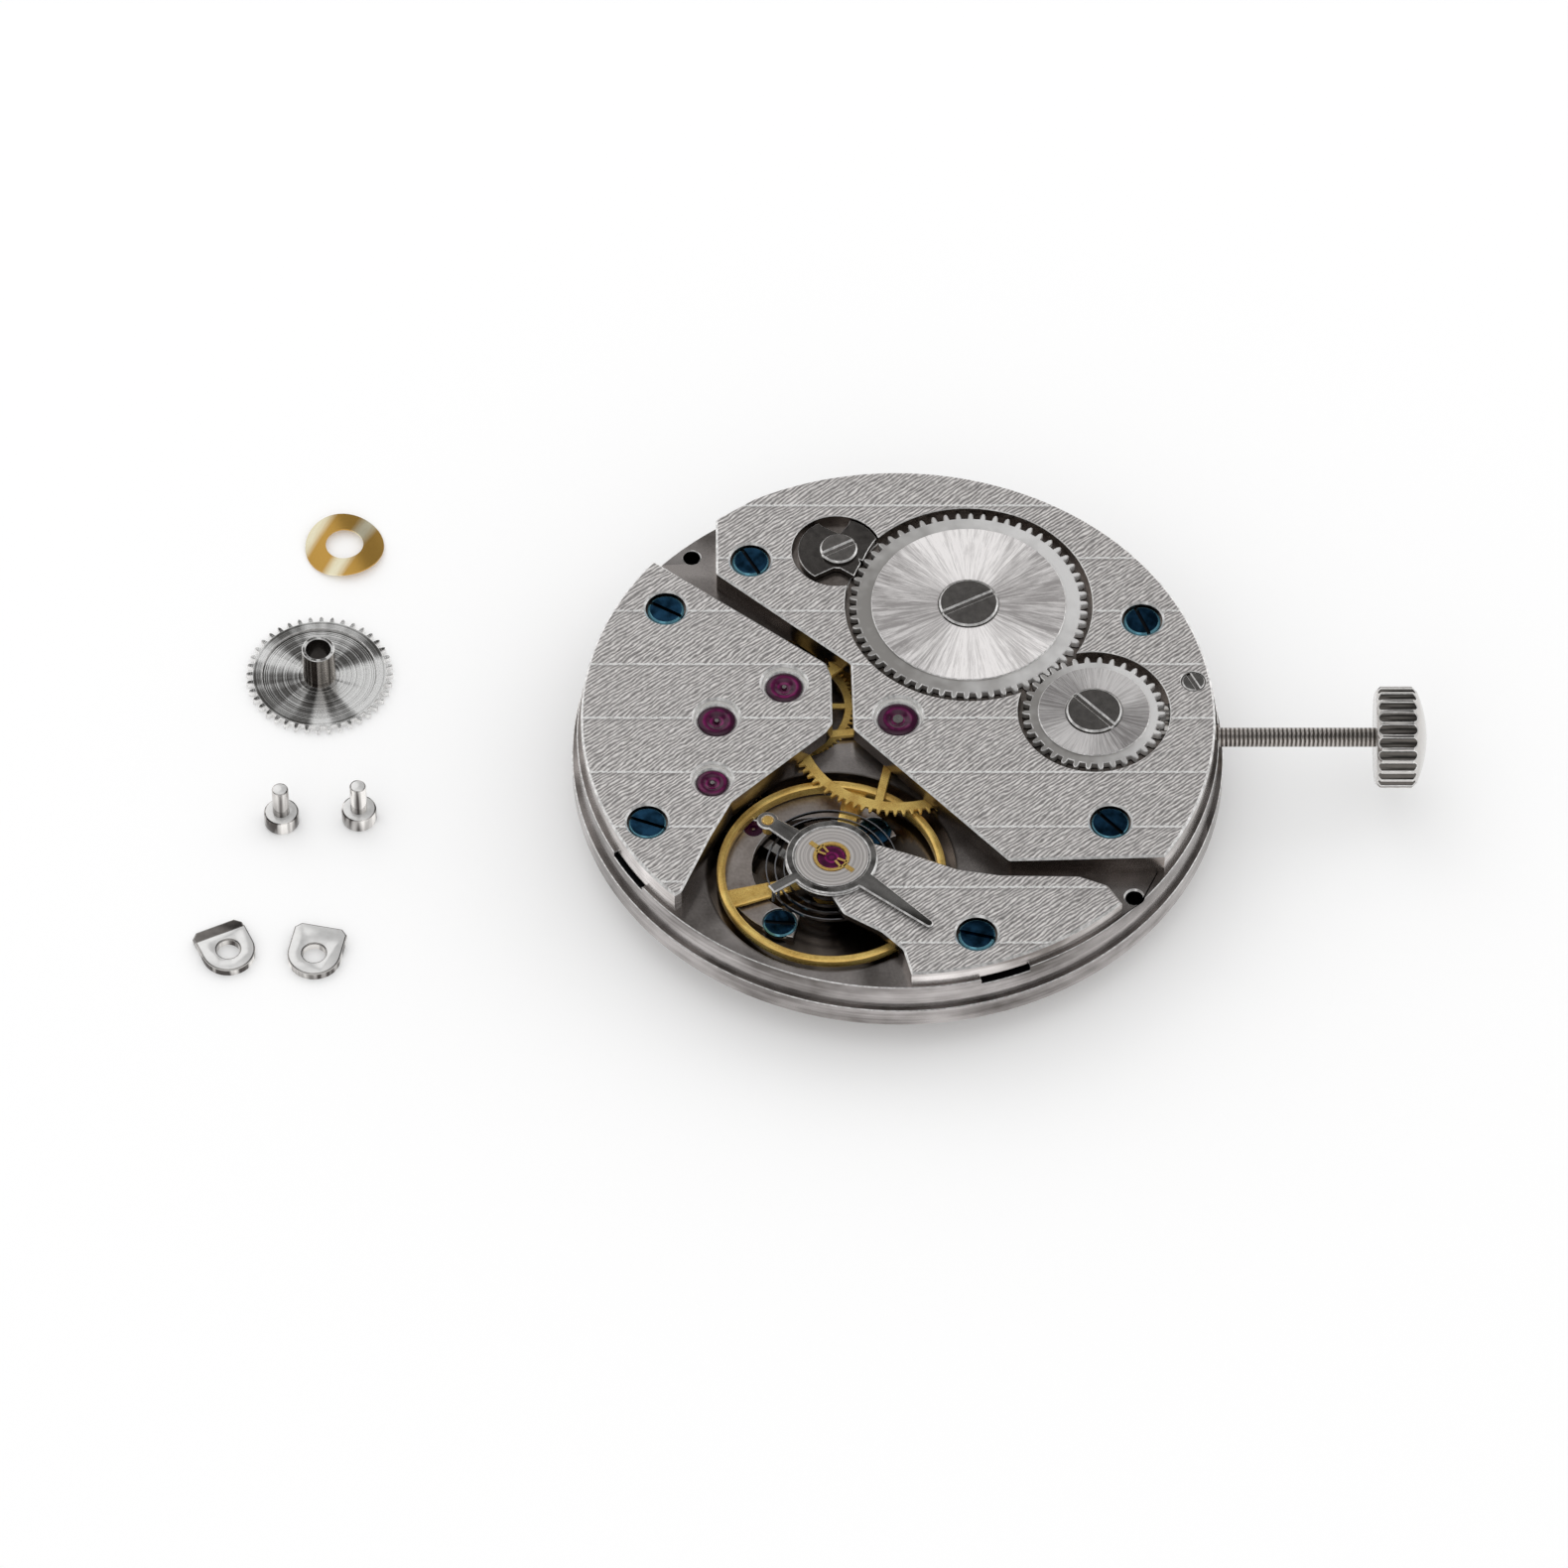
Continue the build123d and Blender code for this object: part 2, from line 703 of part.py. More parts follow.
def train_sinks():
    """Rooms on the bridge side for barrel, wheels, escapement and balance."""
    barrel_tip = tip_of(barrel_pitch, barrel_teeth, wheel_tooth_shares)
    room = rod(barrel_tip + pocket_gap, sink_floor + gap_small, seat_height + overrun, barrel)
    room = room + rod(centre_leaf_pitch * 1.0 + 2 * pinion_reach, sink_floor + gap_wheel, seat_height + overrun)
    third_tip = tip_of(third_pitch, third_teeth, wheel_tooth_shares)
    fourth_tip = tip_of(fourth_pitch, fourth_teeth, wheel_tooth_shares)
    for at, radius in ((third, third_tip), (fourth, fourth_tip), (escape, escape_tip_radius)):
        room = room + rod(radius + sink_gap, train_floor, seat_height + overrun, at)
    room = room + rod(balance_sink_radius, balance_sink_floor, seat_height + overrun, balance)
    room = room + rod(roller_pocket_radius, sink_floor, seat_height + overrun, balance)
    pocket = pallet_reach + escape_pocket_gap - escape_tip_radius
    fork_room = bar(escape, pallet_way, 0, math.dist(escape, balance), 2 * escape_tip_radius,
                    2 * roller_pocket_radius, sink_floor, balance_sink_floor + overrun)
    return room + fork_room + rod(2 * pocket, sink_floor, balance_sink_floor + overrun, pallet)


def main_plate():
    """Round plate with its casing flange, sinks, bearings and threaded holes."""
    plate = rod(case_radius, 0, seat_height) + rod(flange_radius, 0, flange_height)
    plate = plate - train_sinks()
    plate = plate - keyless_cut() - lever_pin_cut() - stem_bore() - keyless_recess() - motion_recess()
    for at, radius in lower_seats():
        plate = plate - rod(radius, lower_jewel_low, train_floor + overrun, at)
        plate = plate - rod(lower_hole_radius, -overrun, lower_jewel_low + overrun, at)
    plate = plate - rod(centre_jewel_radius, centre_jewel_low, sink_floor + overrun)
    plate = plate - rod(centre_lower_radius + shaft_play, -overrun, sink_floor + overrun)
    plate = plate - rod(arbor_pivot_radius + pivot_play, arbor_foot - gap_small, sink_floor + overrun, barrel)
    plate = plate - rod(lower_block_radius, -overrun, sink_floor + overrun, balance)
    plate = plate - rod(pallet_jewel_radius, pallet_jewel_low, balance_sink_floor, pallet)
    plate = plate - rod(lever_post_radius, -overrun, seat_height + overrun, lever_pivot)
    for at in scaled(bridge_screw_shares) + scaled((cock_screw_share,)):
        plate = plate - rod(bridge_screw_shank, seat_height - bridge_screw_length, seat_height + overrun, at)
    for at in scaled(pallet_screw_shares):
        plate = plate - rod(small_screw_shank, sink_floor - gap_small, balance_sink_floor + overrun, at)
    for at in scaled(case_hole_shares):
        plate = plate - rod(case_screw_hole, seat_height - case_screw_hole_depth, seat_height + overrun, at)
    for degrees in dial_foot_degrees:
        turn = math.radians(degrees)
        plate = plate - rod(dial_foot_hole, -overrun, dial_foot_depth, polar(centre, dial_foot_ring, turn))
    for degrees in pry_slot_degrees:
        plate = plate - pry_slot(degrees)
    return plate


def pry_slot(degrees):
    """Notch under a bridge where a screwdriver lifts it."""
    low = seat_height - pry_slot_height
    notch = block((case_radius - pry_slot_depth, -pry_slot_length / 2, low),
                  (case_radius + overrun, pry_slot_length / 2, seat_height + overrun))
    return Rot(0, 0, degrees) * notch


def lower_seats():
    """Jewel places in the plate below the third, fourth and escape wheels."""
    return ((third, lower_jewel_radius), (fourth, lower_jewel_radius), (escape, lower_jewel_radius))


def screw_places(bridge):
    """Places and slot angles of the screws of one bridge."""
    places = scaled(bridge_screw_shares)
    if bridge == "barrel":
        return list(zip(places[:3], bridge_screw_turns[:3]))
    return list(zip(places[3:], bridge_screw_turns[3:]))


def screw_seats(top, places):
    """Counterbores and clearance holes for the bridge screws."""
    cut = None
    for at, _ in places:
        recess = rod(bridge_screw_head + bridge_screw_clearance, top - bridge_screw_recess_depth, top + overrun, at)
        hole = rod(bridge_screw_shank + gap_small, seat_height - overrun, top, at)
        cut = recess + hole if cut is None else cut + recess + hole
    return cut


def bevelled(blank):
    """Breaks the top outer edge of a bridge with a narrow bevel."""
    rim = blank.faces().sort_by(Axis.Z)[-1].outer_wire().edges()
    return chamfer(rim, edge_bevel)


def bridge_blank(shares, rounds, low, top):
    """Bridge outline cut to the movement's round edge, with its top bevel."""
    radii = [share * case_radius for share in rounds]
    outline = soft_prism(scaled(shares), radii, low, top)
    return bevelled(outline & rod(bridge_radius, low - overrun, top + overrun))


def jewel_seats(bridge, seats):
    """Sinks and holes for the upper jewels."""
    for at, radius in seats:
        bridge = bridge - rod(radius + gap_wheel + gap_wheel, jewel_top, bridge_top + overrun, at)
        bridge = bridge - rod(radius, jewel_low, jewel_top + overrun, at)
        bridge = bridge - rod(radius / 2, seat_height - overrun, jewel_low + overrun, at)
    return bridge


def barrel_bridge():
    """Bridge over barrel and centre wheel, with the sunk seats of the winding wheels and the click."""
    bridge = bridge_blank(barrel_bridge_shares, barrel_bridge_round_shares, seat_height, bridge_top)
    centre_tip = tip_of(centre_pitch, centre_teeth, wheel_tooth_shares)
    bridge = bridge - rod(centre_tip + sink_gap, seat_height - overrun, seat_height + underside_recess)
    ratchet_tip = tip_of(ratchet_pitch, ratchet_teeth, winding_tooth_shares)
    crown_tip = tip_of(crown_wheel_pitch, crown_wheel_teeth, winding_tooth_shares)
    bridge = bridge - rod(ratchet_tip + recess_gap, winding_floor, bridge_top + overrun, barrel)
    bridge = bridge - rod(crown_tip + recess_gap, winding_floor, bridge_top + overrun, crown_wheel)
    bridge = bridge - rod(click_recess_radius, bridge_top - click_recess_depth, bridge_top + overrun,
                          (click_recess_x, click_recess_y))
    bridge = bridge - rod(arbor_pivot_radius + arbor_play, seat_height - overrun, bridge_top, barrel)
    bridge = bridge - stem_bar(tip_of(winding_pitch, winding_teeth, winding_tooth_shares) + gap_wheel,
                               winding_pinion_x - gap_small,
                               winding_pinion_x + winding_pinion_tooth_length + gap_small)
    bridge = bridge - stem_bar(winding_pinion_hub_radius + gap_small,
                               winding_pinion_x - winding_pinion_hub_length - 2 * gap_small, winding_pinion_x)
    bridge = bridge - stem_bar(sliding_pinion_radius + gap_wheel, keyway_start_x, winding_pinion_x
                               - winding_pinion_hub_length)
    bridge = bridge - stem_bar(stem_bearing_radius + shaft_play, winding_pinion_x, flange_radius + overrun)
    bridge = bridge - stem_bar(stem_pivot_radius + shaft_play, stem_pivot_x - gap_small, keyway_start_x + overrun)
    bridge = jewel_seats(bridge, upper_seats()[:1])
    bridge = bridge - screw_seats(bridge_top, screw_places("barrel"))
    bridge = bridge + crown_wheel_core()
    bridge = bridge - rod(winding_screw_shank, crown_screw_low, bridge_top, crown_wheel)
    bridge = bridge - rod(click_post_radius, bridge_top - bridge_thickness + gap_wheel, bridge_top,
                          click_pivot)
    bridge = bridge - rod(lever_post_radius + gap_small, seat_height - overrun, bridge_top + overrun, lever_pivot)
    return bridge - rod(small_screw_head + gap_small, bridge_top - small_screw_height - gap_small,
                        bridge_top + overrun, lever_pivot)


def train_bridge():
    """Bridge over third, fourth and escape wheels."""
    bridge = bridge_blank(train_bridge_shares, train_bridge_round_shares, seat_height, bridge_top)
    centre_tip = tip_of(centre_pitch, centre_teeth, wheel_tooth_shares)
    bridge = bridge - rod(centre_tip + sink_gap, seat_height - overrun, seat_height + underside_recess)
    third_leaf_tip = tip_of(third_leaf_pitch, third_leaves, leaf_shares)
    room_top = seat_height + underside_recess + 2 * gap_small
    bridge = bridge - rod(third_leaf_tip + gap_wheel, seat_height - overrun, room_top, third)
    bridge = jewel_seats(bridge, upper_seats()[1:])
    return bridge - screw_seats(bridge_top, screw_places("train"))


def balance_cock():
    """Cock that carries the balance's upper shock setting."""
    cock = bridge_blank(cock_shares, cock_round_shares, seat_height, cock_top)
    cock = cock - rod(balance_sink_radius, seat_height - overrun, cock_underside, balance)
    cock = cock - rod(shock_hole_radius, seat_height, cock_top + overrun, balance)
    at = scaled((cock_screw_share,))[0]
    return cock - screw_seats(cock_top, [(at, cock_screw_turn)])


def bridge_screws():
    """Blued screws of the three bridges."""
    screws = []
    seat = bridge_top - bridge_screw_recess_depth
    for at, turn in screw_places("barrel") + screw_places("train"):
        length = seat - seat_height + bridge_screw_length - gap_small
        screws.append(slotted_screw(at, seat, bridge_screw_head, bridge_screw_height, bridge_screw_shank, length, turn))
    at = scaled((cock_screw_share,))[0]
    seat = cock_top - bridge_screw_recess_depth
    length = seat - seat_height + bridge_screw_length - gap_small
    screws.append(slotted_screw(at, seat, bridge_screw_head, bridge_screw_height, bridge_screw_shank, length,
                                cock_screw_turn))
    return screws


def upper_jewels():
    """Four rubies in the bridges."""
    holes = (centre_pivot_radius, pivot_radius, pivot_radius, pivot_radius)
    return [jewel(at, radius, hole, jewel_low, jewel_top, True) for (at, radius), hole in zip(upper_seats(), holes)]


def lower_jewels():
    """Rubies in the plate under the train wheels and the centre arbor."""
    stones = [jewel(at, radius, seconds_or_pivot(at), lower_jewel_low, lower_jewel_top, False)
              for at, radius in lower_seats()]
    stones.append(tube(centre_jewel_radius, centre_lower_radius + pivot_play, centre_jewel_low, sink_floor))
    return stones


def seconds_or_pivot(at):
    """Lower pivot radius of a train arbor: the fourth one is stout, for it carries the seconds hand."""
    return seconds_journal_radius if at == fourth else pivot_radius


def barrel_drum():
    """Toothed drum that holds the mainspring."""
    drum_radius = barrel_pitch - drum_tooth_land
    drum = toothed(barrel, barrel_teeth, barrel_pitch, barrel_phase, wheel_tooth_shares,
                   drum_floor, drum_floor + drum_tooth_height)
    drum = drum + rod(drum_radius, drum_floor, drum_top, barrel)
    drum = drum - rod(drum_radius - drum_wall, drum_floor + drum_base, drum_top + overrun, barrel)
    drum = drum - rod(drum_radius - drum_wall + cover_ledge, drum_top - cover_thickness, drum_top + overrun, barrel)
    return drum - rod(arbor_pivot_radius + shaft_play, drum_floor - overrun, drum_top, barrel)


def barrel_cover():
    """Thin lid that snaps into the drum."""
    outer = barrel_pitch - drum_tooth_land - drum_wall + cover_ledge
    return tube(outer, arbor_pivot_radius + shaft_play, drum_top - cover_thickness, drum_top, barrel)


def mainspring():
    """Coiled mainspring between arbor and drum wall."""
    low = drum_floor + drum_base + gap_wheel
    start = arbor_core_radius + mainspring_pitch / 2
    gap = mainspring_pitch - mainspring_thickness
    print("mainspring least gap to itself", round(gap, 3))
    return spiral(barrel, start, mainspring_pitch, 2 * mainspring_turns, 0, mainspring_thickness,
                  low, drum_top - cover_thickness - gap_wheel)


def barrel_arbor():
    """Arbor that winds the mainspring, with a square for the ratchet wheel."""
    body_low = drum_floor + drum_base + gap_small
    body_high = drum_top - cover_thickness - gap_small
    arbor = stack(barrel, (arbor_pivot_radius, arbor_foot, winding_wheel_low),
                  (arbor_core_radius, body_low, body_high))
    half = arbor_square / 2
    square = block((barrel_x - half, barrel_y - half, winding_wheel_low),
                   (barrel_x + half, barrel_y + half, ratchet_head_seat - gap_small))
    turned = Pos(barrel_x, barrel_y, 0) * Rot(0, 0, math.degrees(ratchet_phase)) * Pos(-barrel_x, -barrel_y, 0)
    arbor = arbor + turned * square
    return arbor - rod(winding_screw_shank, seat_height, bridge_top, barrel)


def winding_wheel(at, count, pitch_radius, phase, disc_radius, head_radius):
    """Flat steel winding wheel with a raised middle disc and a sink for its screw head."""
    tooth_top = bridge_top - tooth_step_down
    wheel = toothed(at, count, pitch_radius, phase, winding_tooth_shares, winding_wheel_low, tooth_top)
    wheel = wheel + rod(disc_radius, winding_wheel_low, bridge_top, at)
    return wheel - rod(head_radius + gap_small, bridge_top - winding_head_sink, bridge_top + overrun, at)


def ratchet_wheel():
    """Ratchet wheel on the square of the barrel arbor."""
    wheel = winding_wheel(barrel, ratchet_teeth, ratchet_pitch, ratchet_phase, ratchet_disc_radius,
                          ratchet_head_radius)
    half = arbor_square / 2 + pivot_play
    hole = block((barrel_x - half, barrel_y - half, seat_height), (barrel_x + half, barrel_y + half, bridge_top))
    turned = Pos(barrel_x, barrel_y, 0) * Rot(0, 0, math.degrees(ratchet_phase)) * Pos(-barrel_x, -barrel_y, 0)
    return wheel - turned * hole


def ratchet_screw():
    """Screw that holds the ratchet wheel on its arbor."""
    length = ratchet_head_seat - seat_height - overrun
    return slotted_screw(barrel, ratchet_head_seat, ratchet_head_radius, winding_head_height,
                         winding_screw_shank, length, ratchet_slot_degrees)


def crown_wheel_part():
    """Crown wheel that takes the drive from the winding pinion to the ratchet wheel."""
    wheel = winding_wheel(crown_wheel, crown_wheel_teeth, crown_wheel_pitch, crown_phase, crown_disc_radius,
                          crown_head_radius)
    return wheel - rod(core_radius + core_play, seat_height, bridge_top + overrun, crown_wheel)


def crown_wheel_core():
    """Ring on the barrel bridge that the crown wheel turns on."""
    return rod(core_radius, winding_floor, crown_head_seat, crown_wheel)


def crown_wheel_screw():
    """Left-hand screw through the crown wheel's core."""
    seat = crown_head_seat + pivot_play
    return slotted_screw(crown_wheel, seat, crown_head_radius, winding_head_height, winding_screw_shank,
                         seat - crown_screw_low, crown_slot_degrees)


def click():
    """Click: a round plate with a beak at the ratchet teeth and a V notch opposite, free to lift off clockwise."""
    low = bridge_top - click_recess_depth + gap_small
    high = low + click_thickness
    plate = rod(click_recess_radius - gap_wheel - gap_wheel, low, high, click_pivot)
    plate = plate - click_outline(click_notch_shares, low, high) - click_outline(click_foot_shares, low, high)
    reach = tip_of(ratchet_pitch, ratchet_teeth, winding_tooth_shares) + click_tip_gap
    lifted = polar(click_pivot, math.dist(click_pivot, barrel), toward(click_pivot, barrel)
                   + math.radians(click_lift_degrees))
    plate = plate - rod(reach, low - overrun, high + overrun, lifted)
    plate = plate + rod(click_hub_radius, low, high, click_pivot)
    beak_way = math.radians(click_beak_degrees)
    plate = plate + bar(click_pivot, beak_way, 0, click_recess_radius, 2 * click_screw_radius, click_beak_width,
                        low, high)
    plate = plate - rod(reach, low - overrun, high + overrun, barrel)
    return plate - rod(click_post_radius + pivot_play, low - overrun, high + overrun, click_pivot)


def click_outline(shares, low, high):
    """Cut in the click, from shares of its recess's radius."""
    points = [(click_pivot[0] + x * click_recess_radius, click_pivot[1] + y * click_recess_radius)
              for x, y in shares]
    return prism(points, low - overrun, high + overrun)


def click_screw():
    """Shouldered screw that the click turns on."""
    low = bridge_top - click_recess_depth + gap_small
    seat = low + click_thickness + pivot_play
    return slotted_screw(click_pivot, seat, click_screw_radius, bridge_top + click_screw_sink - seat,
                         click_post_radius, seat - seat_height - 2 * gap_wheel, click_slot_degrees)


def click_spring():
    """Thin wire spring in the lower part of the click's recess."""
    low = bridge_top - click_recess_depth
    radius = click_recess_radius - click_spring_width / 2 - pivot_play
    recess = (click_recess_x, click_recess_y)
    outer = rod(radius + click_spring_width / 2, low, low + click_spring_height, recess)
    band = outer - rod(radius - click_spring_width / 2, low - overrun, low + click_spring_height + overrun, recess)
    keep = bar(recess, math.radians(click_flat_degrees), click_post_radius + click_screw_radius / 2 + gap_wheel,
               click_recess_radius + overrun, 2 * click_recess_radius, 2 * click_recess_radius, low,
               low + click_spring_height)
    ratchet_tip = tip_of(ratchet_pitch, ratchet_teeth, winding_tooth_shares)
    return (band & keep) - rod(ratchet_tip + recess_gap + gap_small, low - overrun, bridge_top, barrel)


def train_wheel(at, count, pitch_radius, phase, level, thickness, rim_width, seat, arms, width, arm_phase):
    """Gilt spoked wheel of the going train."""
    blank = toothed(at, count, pitch_radius, phase, wheel_tooth_shares, level, level + thickness)
    module = 2 * pitch_radius / count
    rim_inner = pitch_radius - module - rim_width
    wheel = spoked(blank, at, rim_inner, seat + hub_extra, arms, width, arm_phase, level, level + thickness)
    return wheel - rod(seat, level - overrun, level + thickness + overrun, at)


def centre_wheel():
    """Minute-train wheel on the centre arbor."""
    return train_wheel(centre, centre_teeth, centre_pitch, centre_phase, centre_wheel_level, centre_wheel_thickness,
                       centre_rim_width, centre_seat_radius, 5, arm_width, math.radians(centre_arm_degrees))


def centre_pinion():
    """Centre arbor with its leaves; its long lower end carries the cannon pinion."""
    leaf_low = drum_floor
    leaf_high = drum_floor + drum_tooth_height + gap_wheel
    arbor = toothed(centre, centre_leaves, centre_leaf_pitch, centre_leaf_phase, leaf_shares, leaf_low, leaf_high)
    seat_high = centre_wheel_level + centre_wheel_thickness
    arbor = arbor + stack(centre, (centre_seat_radius, leaf_high, seat_high),
                          (centre_pivot_radius, seat_high, jewel_top),
                          (centre_lower_radius, cannon_low + cannon_seat_length, leaf_low))
    return arbor


def cannon_pinion():
    """Sleeve with leaves on the centre arbor; its free end takes the minute hand."""
    leaf_low = cannon_high - cannon_leaf_height
    body = toothed(centre, cannon_leaves, cannon_pitch, cannon_phase, leaf_shares, leaf_low, cannon_high)
    body = body + stack(centre, (cannon_tube_radius, cannon_low + cannon_seat_length, leaf_low),
                        (cannon_seat_radius, cannon_low, cannon_low + cannon_seat_length))
    return body - rod(centre_lower_radius, cannon_low + cannon_seat_length, cannon_high + overrun)


def third_wheel():
    """Third wheel."""
    return train_wheel(third, third_teeth, third_pitch, third_phase, third_wheel_level, train_wheel_thickness,
                       train_rim_width, third_seat_radius, 4, thin_arm_width, 0)


def third_pinion():
    """Third arbor with its leaves."""
    wheel_top = third_wheel_level + train_wheel_thickness
    leaf_high = centre_wheel_level + centre_wheel_thickness + gap_small
    body = toothed(third, third_leaves, third_leaf_pitch, third_leaf_phase, leaf_shares,
                   centre_wheel_level - gap_small - pinion_reach, leaf_high)
    return body + stack(third, (pivot_radius, lower_jewel_low, train_floor + gap_small),
                        (slim_arbor_radius, train_floor + gap_small, third_wheel_level),
                        (third_seat_radius, third_wheel_level - gap_small, wheel_top),
                        (slim_arbor_radius, wheel_top, leaf_high),
                        (pivot_radius, leaf_high, jewel_top))


def fourth_wheel():
    """Fourth wheel, which turns once a minute."""
    return train_wheel(fourth, fourth_teeth, fourth_pitch, fourth_phase, fourth_wheel_level, train_wheel_thickness,
                       train_rim_width, fourth_seat_radius, 4, thin_arm_width, math.radians(fourth_arm_degrees))


def fourth_pinion():
    """Fourth arbor; its long lower pivot carries the seconds hand."""
    wheel_top = fourth_wheel_level + train_wheel_thickness
    leaf_low = third_wheel_level - pinion_reach
    leaf_high = third_wheel_level + train_wheel_thickness + pinion_reach
    body = toothed(fourth, fourth_leaves, fourth_leaf_pitch, fourth_leaf_phase, leaf_shares, leaf_low, leaf_high)
    return body + stack(fourth, (seconds_radius, -seconds_post_drop, 0),
                        (seconds_journal_radius, 0, train_floor + gap_small),
                        (fourth_seat_radius, train_floor + gap_small, wheel_top),
                        (slim_arbor_radius, wheel_top, leaf_low),
                        (stout_arbor_radius, leaf_high, seat_height + pinion_reach),
                        (pivot_radius, seat_height + pinion_reach, jewel_top))


def escape_wheel():
    """Fifteen-tooth escape wheel with raked teeth."""
    low = escape_wheel_level
    high = low + train_wheel_thickness
    step = 2 * math.pi / escape_teeth
    points = []
    for tooth in range(escape_teeth):
        turn = escape_phase + tooth * step
        points.append(polar(escape, escape_root_radius, turn - step * club_back_share))
        points.append(polar(escape, escape_tip_radius * club_heel_share, turn - step * club_land_share))
        points.append(polar(escape, escape_tip_radius, turn))
        points.append(polar(escape, escape_root_radius, turn + step * club_root_share))
    blank = prism(points, low, high)
    wheel = spoked(blank, escape, escape_rim_inner, escape_seat_radius + hub_extra / 2, 4, thin_arm_width, 0, low, high)
    return wheel - rod(escape_seat_radius, low - overrun, high + overrun, escape)


def escape_pinion():
    """Escape arbor with its leaves."""
    leaf_high = escape_wheel_level - gap_small
    body = toothed(escape, escape_leaves, escape_leaf_pitch, escape_leaf_phase, leaf_shares,
                   train_floor + gap_small, leaf_high)
    wheel_top = escape_wheel_level + train_wheel_thickness
    return body + stack(escape, (escape_seat_radius, leaf_high, wheel_top),
                        (slim_arbor_radius, wheel_top, seat_height + pinion_reach),
                        (pivot_radius, seat_height + pinion_reach, jewel_top),
                        (pivot_radius, lower_jewel_low, train_floor + gap_small))


def in_fork(along, across):
    """Point in the lever's own frame: along towards the balance from the pallet arbor, and across."""
    return polar(polar(pallet, along, pallet_way), across, pallet_way + math.pi / 2)


def stone_near():
    """Place along the lever where a pallet stone's acting end lies, just clear of the escape wheel's tips."""
    across = escape_tip_radius * math.sin(math.radians(stone_angle_degrees))
    inner = across - stone_width / 2
    return math.sqrt((escape_tip_radius + stone_gap) ** 2 - inner ** 2) - pallet_reach, across


def pallet_fork():
    """Lever with two pallet arms, a forked end and its arbor."""
    low = escape_wheel_level
    high = low + fork_thickness
    near, across = stone_near()
    back = near + stone_length + stone_width / 2
    arm_end = across + stone_width
    front = near + stone_length / 2
    anchor = [in_fork(front, arm_end), in_fork(back, arm_end), in_fork(back, -arm_end), in_fork(front, -arm_end),
              in_fork(front, stone_width - across), in_fork(front - stone_width / 2, 0),
              in_fork(front, across - stone_width)]
    fork = prism(anchor, low, high)
    fork_end = math.dist(pallet, balance) - fork_end_clearance
    fork = fork - stone_slots(low - overrun, high + overrun)
    fork = fork + bar(pallet, pallet_way, 0, fork_end, fork_end_width * 0.8, fork_width, low, high)
    horn = fork_end - fork_slot_depth - fork_width
    fork = fork + bar(pallet, pallet_way, horn, fork_end, fork_width, fork_end_width, low, high)
    fork = fork - bar(pallet, pallet_way, fork_end - fork_slot_depth, fork_end + overrun, fork_slot_width,
                      fork_slot_width, low - overrun, high + overrun)
    top_pivot = pallet_bridge_seat + pallet_bridge_thickness - gap_wheel
    fork = fork + stack(pallet, (pallet_arbor_radius, sink_floor + gap_small, pallet_bridge_seat - gap_small),
                        (pallet_pivot_radius, pallet_jewel_low, top_pivot))
    return fork


def stone_slots(low, high):
    """Both places of the pallet stones, as one cutting piece."""
    near, across = stone_near()
    slots = None
    for side in (1, -1):
        corners = (in_fork(near, side * (across - stone_width / 2)), in_fork(near, side * (across + stone_width / 2)),
                   in_fork(near + stone_length, side * (across + stone_width / 2)),
                   in_fork(near + stone_length, side * (across - stone_width / 2)))
        slot = prism(corners, low, high)
        slots = slot if slots is None else slots + slot
    return slots


def pallet_stones():
    """Two rubies that lock and release the escape wheel."""
    middle = escape_wheel_level + fork_thickness / 2
    return stone_slots(middle - stone_height / 2, middle + stone_height / 2)


def pallet_bridge():
    """Crescent bridge over the pallet arbor, held by two screws under the balance."""
    middle = polar(balance, -pallet_bridge_offset, pallet_way)
    low = pallet_bridge_seat
    high = low + pallet_bridge_thickness
    half = pallet_bridge_width / 2
    ring = tube(pallet_bridge_radius + half, pallet_bridge_radius - half, low, high, middle)
    reach = pallet_bridge_radius + pallet_bridge_width
    spread = math.radians(pallet_bridge_half_degrees)
    bridge = ring - sector_cut(middle, pallet_way, math.pi - spread, reach, low - overrun, high + overrun)
    for at in scaled(pallet_screw_shares):
        bridge = bridge + rod(half, low, high, at)
    for at in scaled(pallet_screw_shares):
        bridge = bridge - rod(small_screw_shank + gap_small, low - overrun, high + overrun, at)
        bridge = bridge - rod(pallet_screw_head + gap_small, high - pallet_bridge_thickness / 2, high + overrun, at)
    bridge = bridge - rod(pallet_jewel_radius, low - overrun, high + overrun, pallet)
    return bridge


def sector_cut(origin, direction, half_angle, reach, low, high):
    """Wedge with its point at an origin, used to open a ring."""
    points = [origin]
    for step in range(-2, 3):
        points.append(polar(origin, 2 * reach, direction + half_angle * step / 2))
    return prism(points, low, high)


def pallet_bridge_screws():
    """Two blued screws of the pallet bridge."""
    seat = pallet_bridge_seat + pallet_bridge_thickness / 2
    return [slotted_screw(at, seat, pallet_screw_head, pallet_bridge_thickness / 2, small_screw_shank,
                          seat - sink_floor, turn)
            for at, turn in zip(scaled(pallet_screw_shares), pallet_screw_turns)]


def pallet_jewels():
    """Rubies for the pallet arbor, in the plate and in its bridge."""
    top = pallet_bridge_seat + pallet_bridge_thickness - gap_small
    upper = jewel(pallet, pallet_jewel_radius, pallet_pivot_radius, pallet_bridge_seat, top, True)
    lower = jewel(pallet, pallet_jewel_radius, pallet_pivot_radius, pallet_jewel_low, sink_floor, False)
    return [upper, lower]


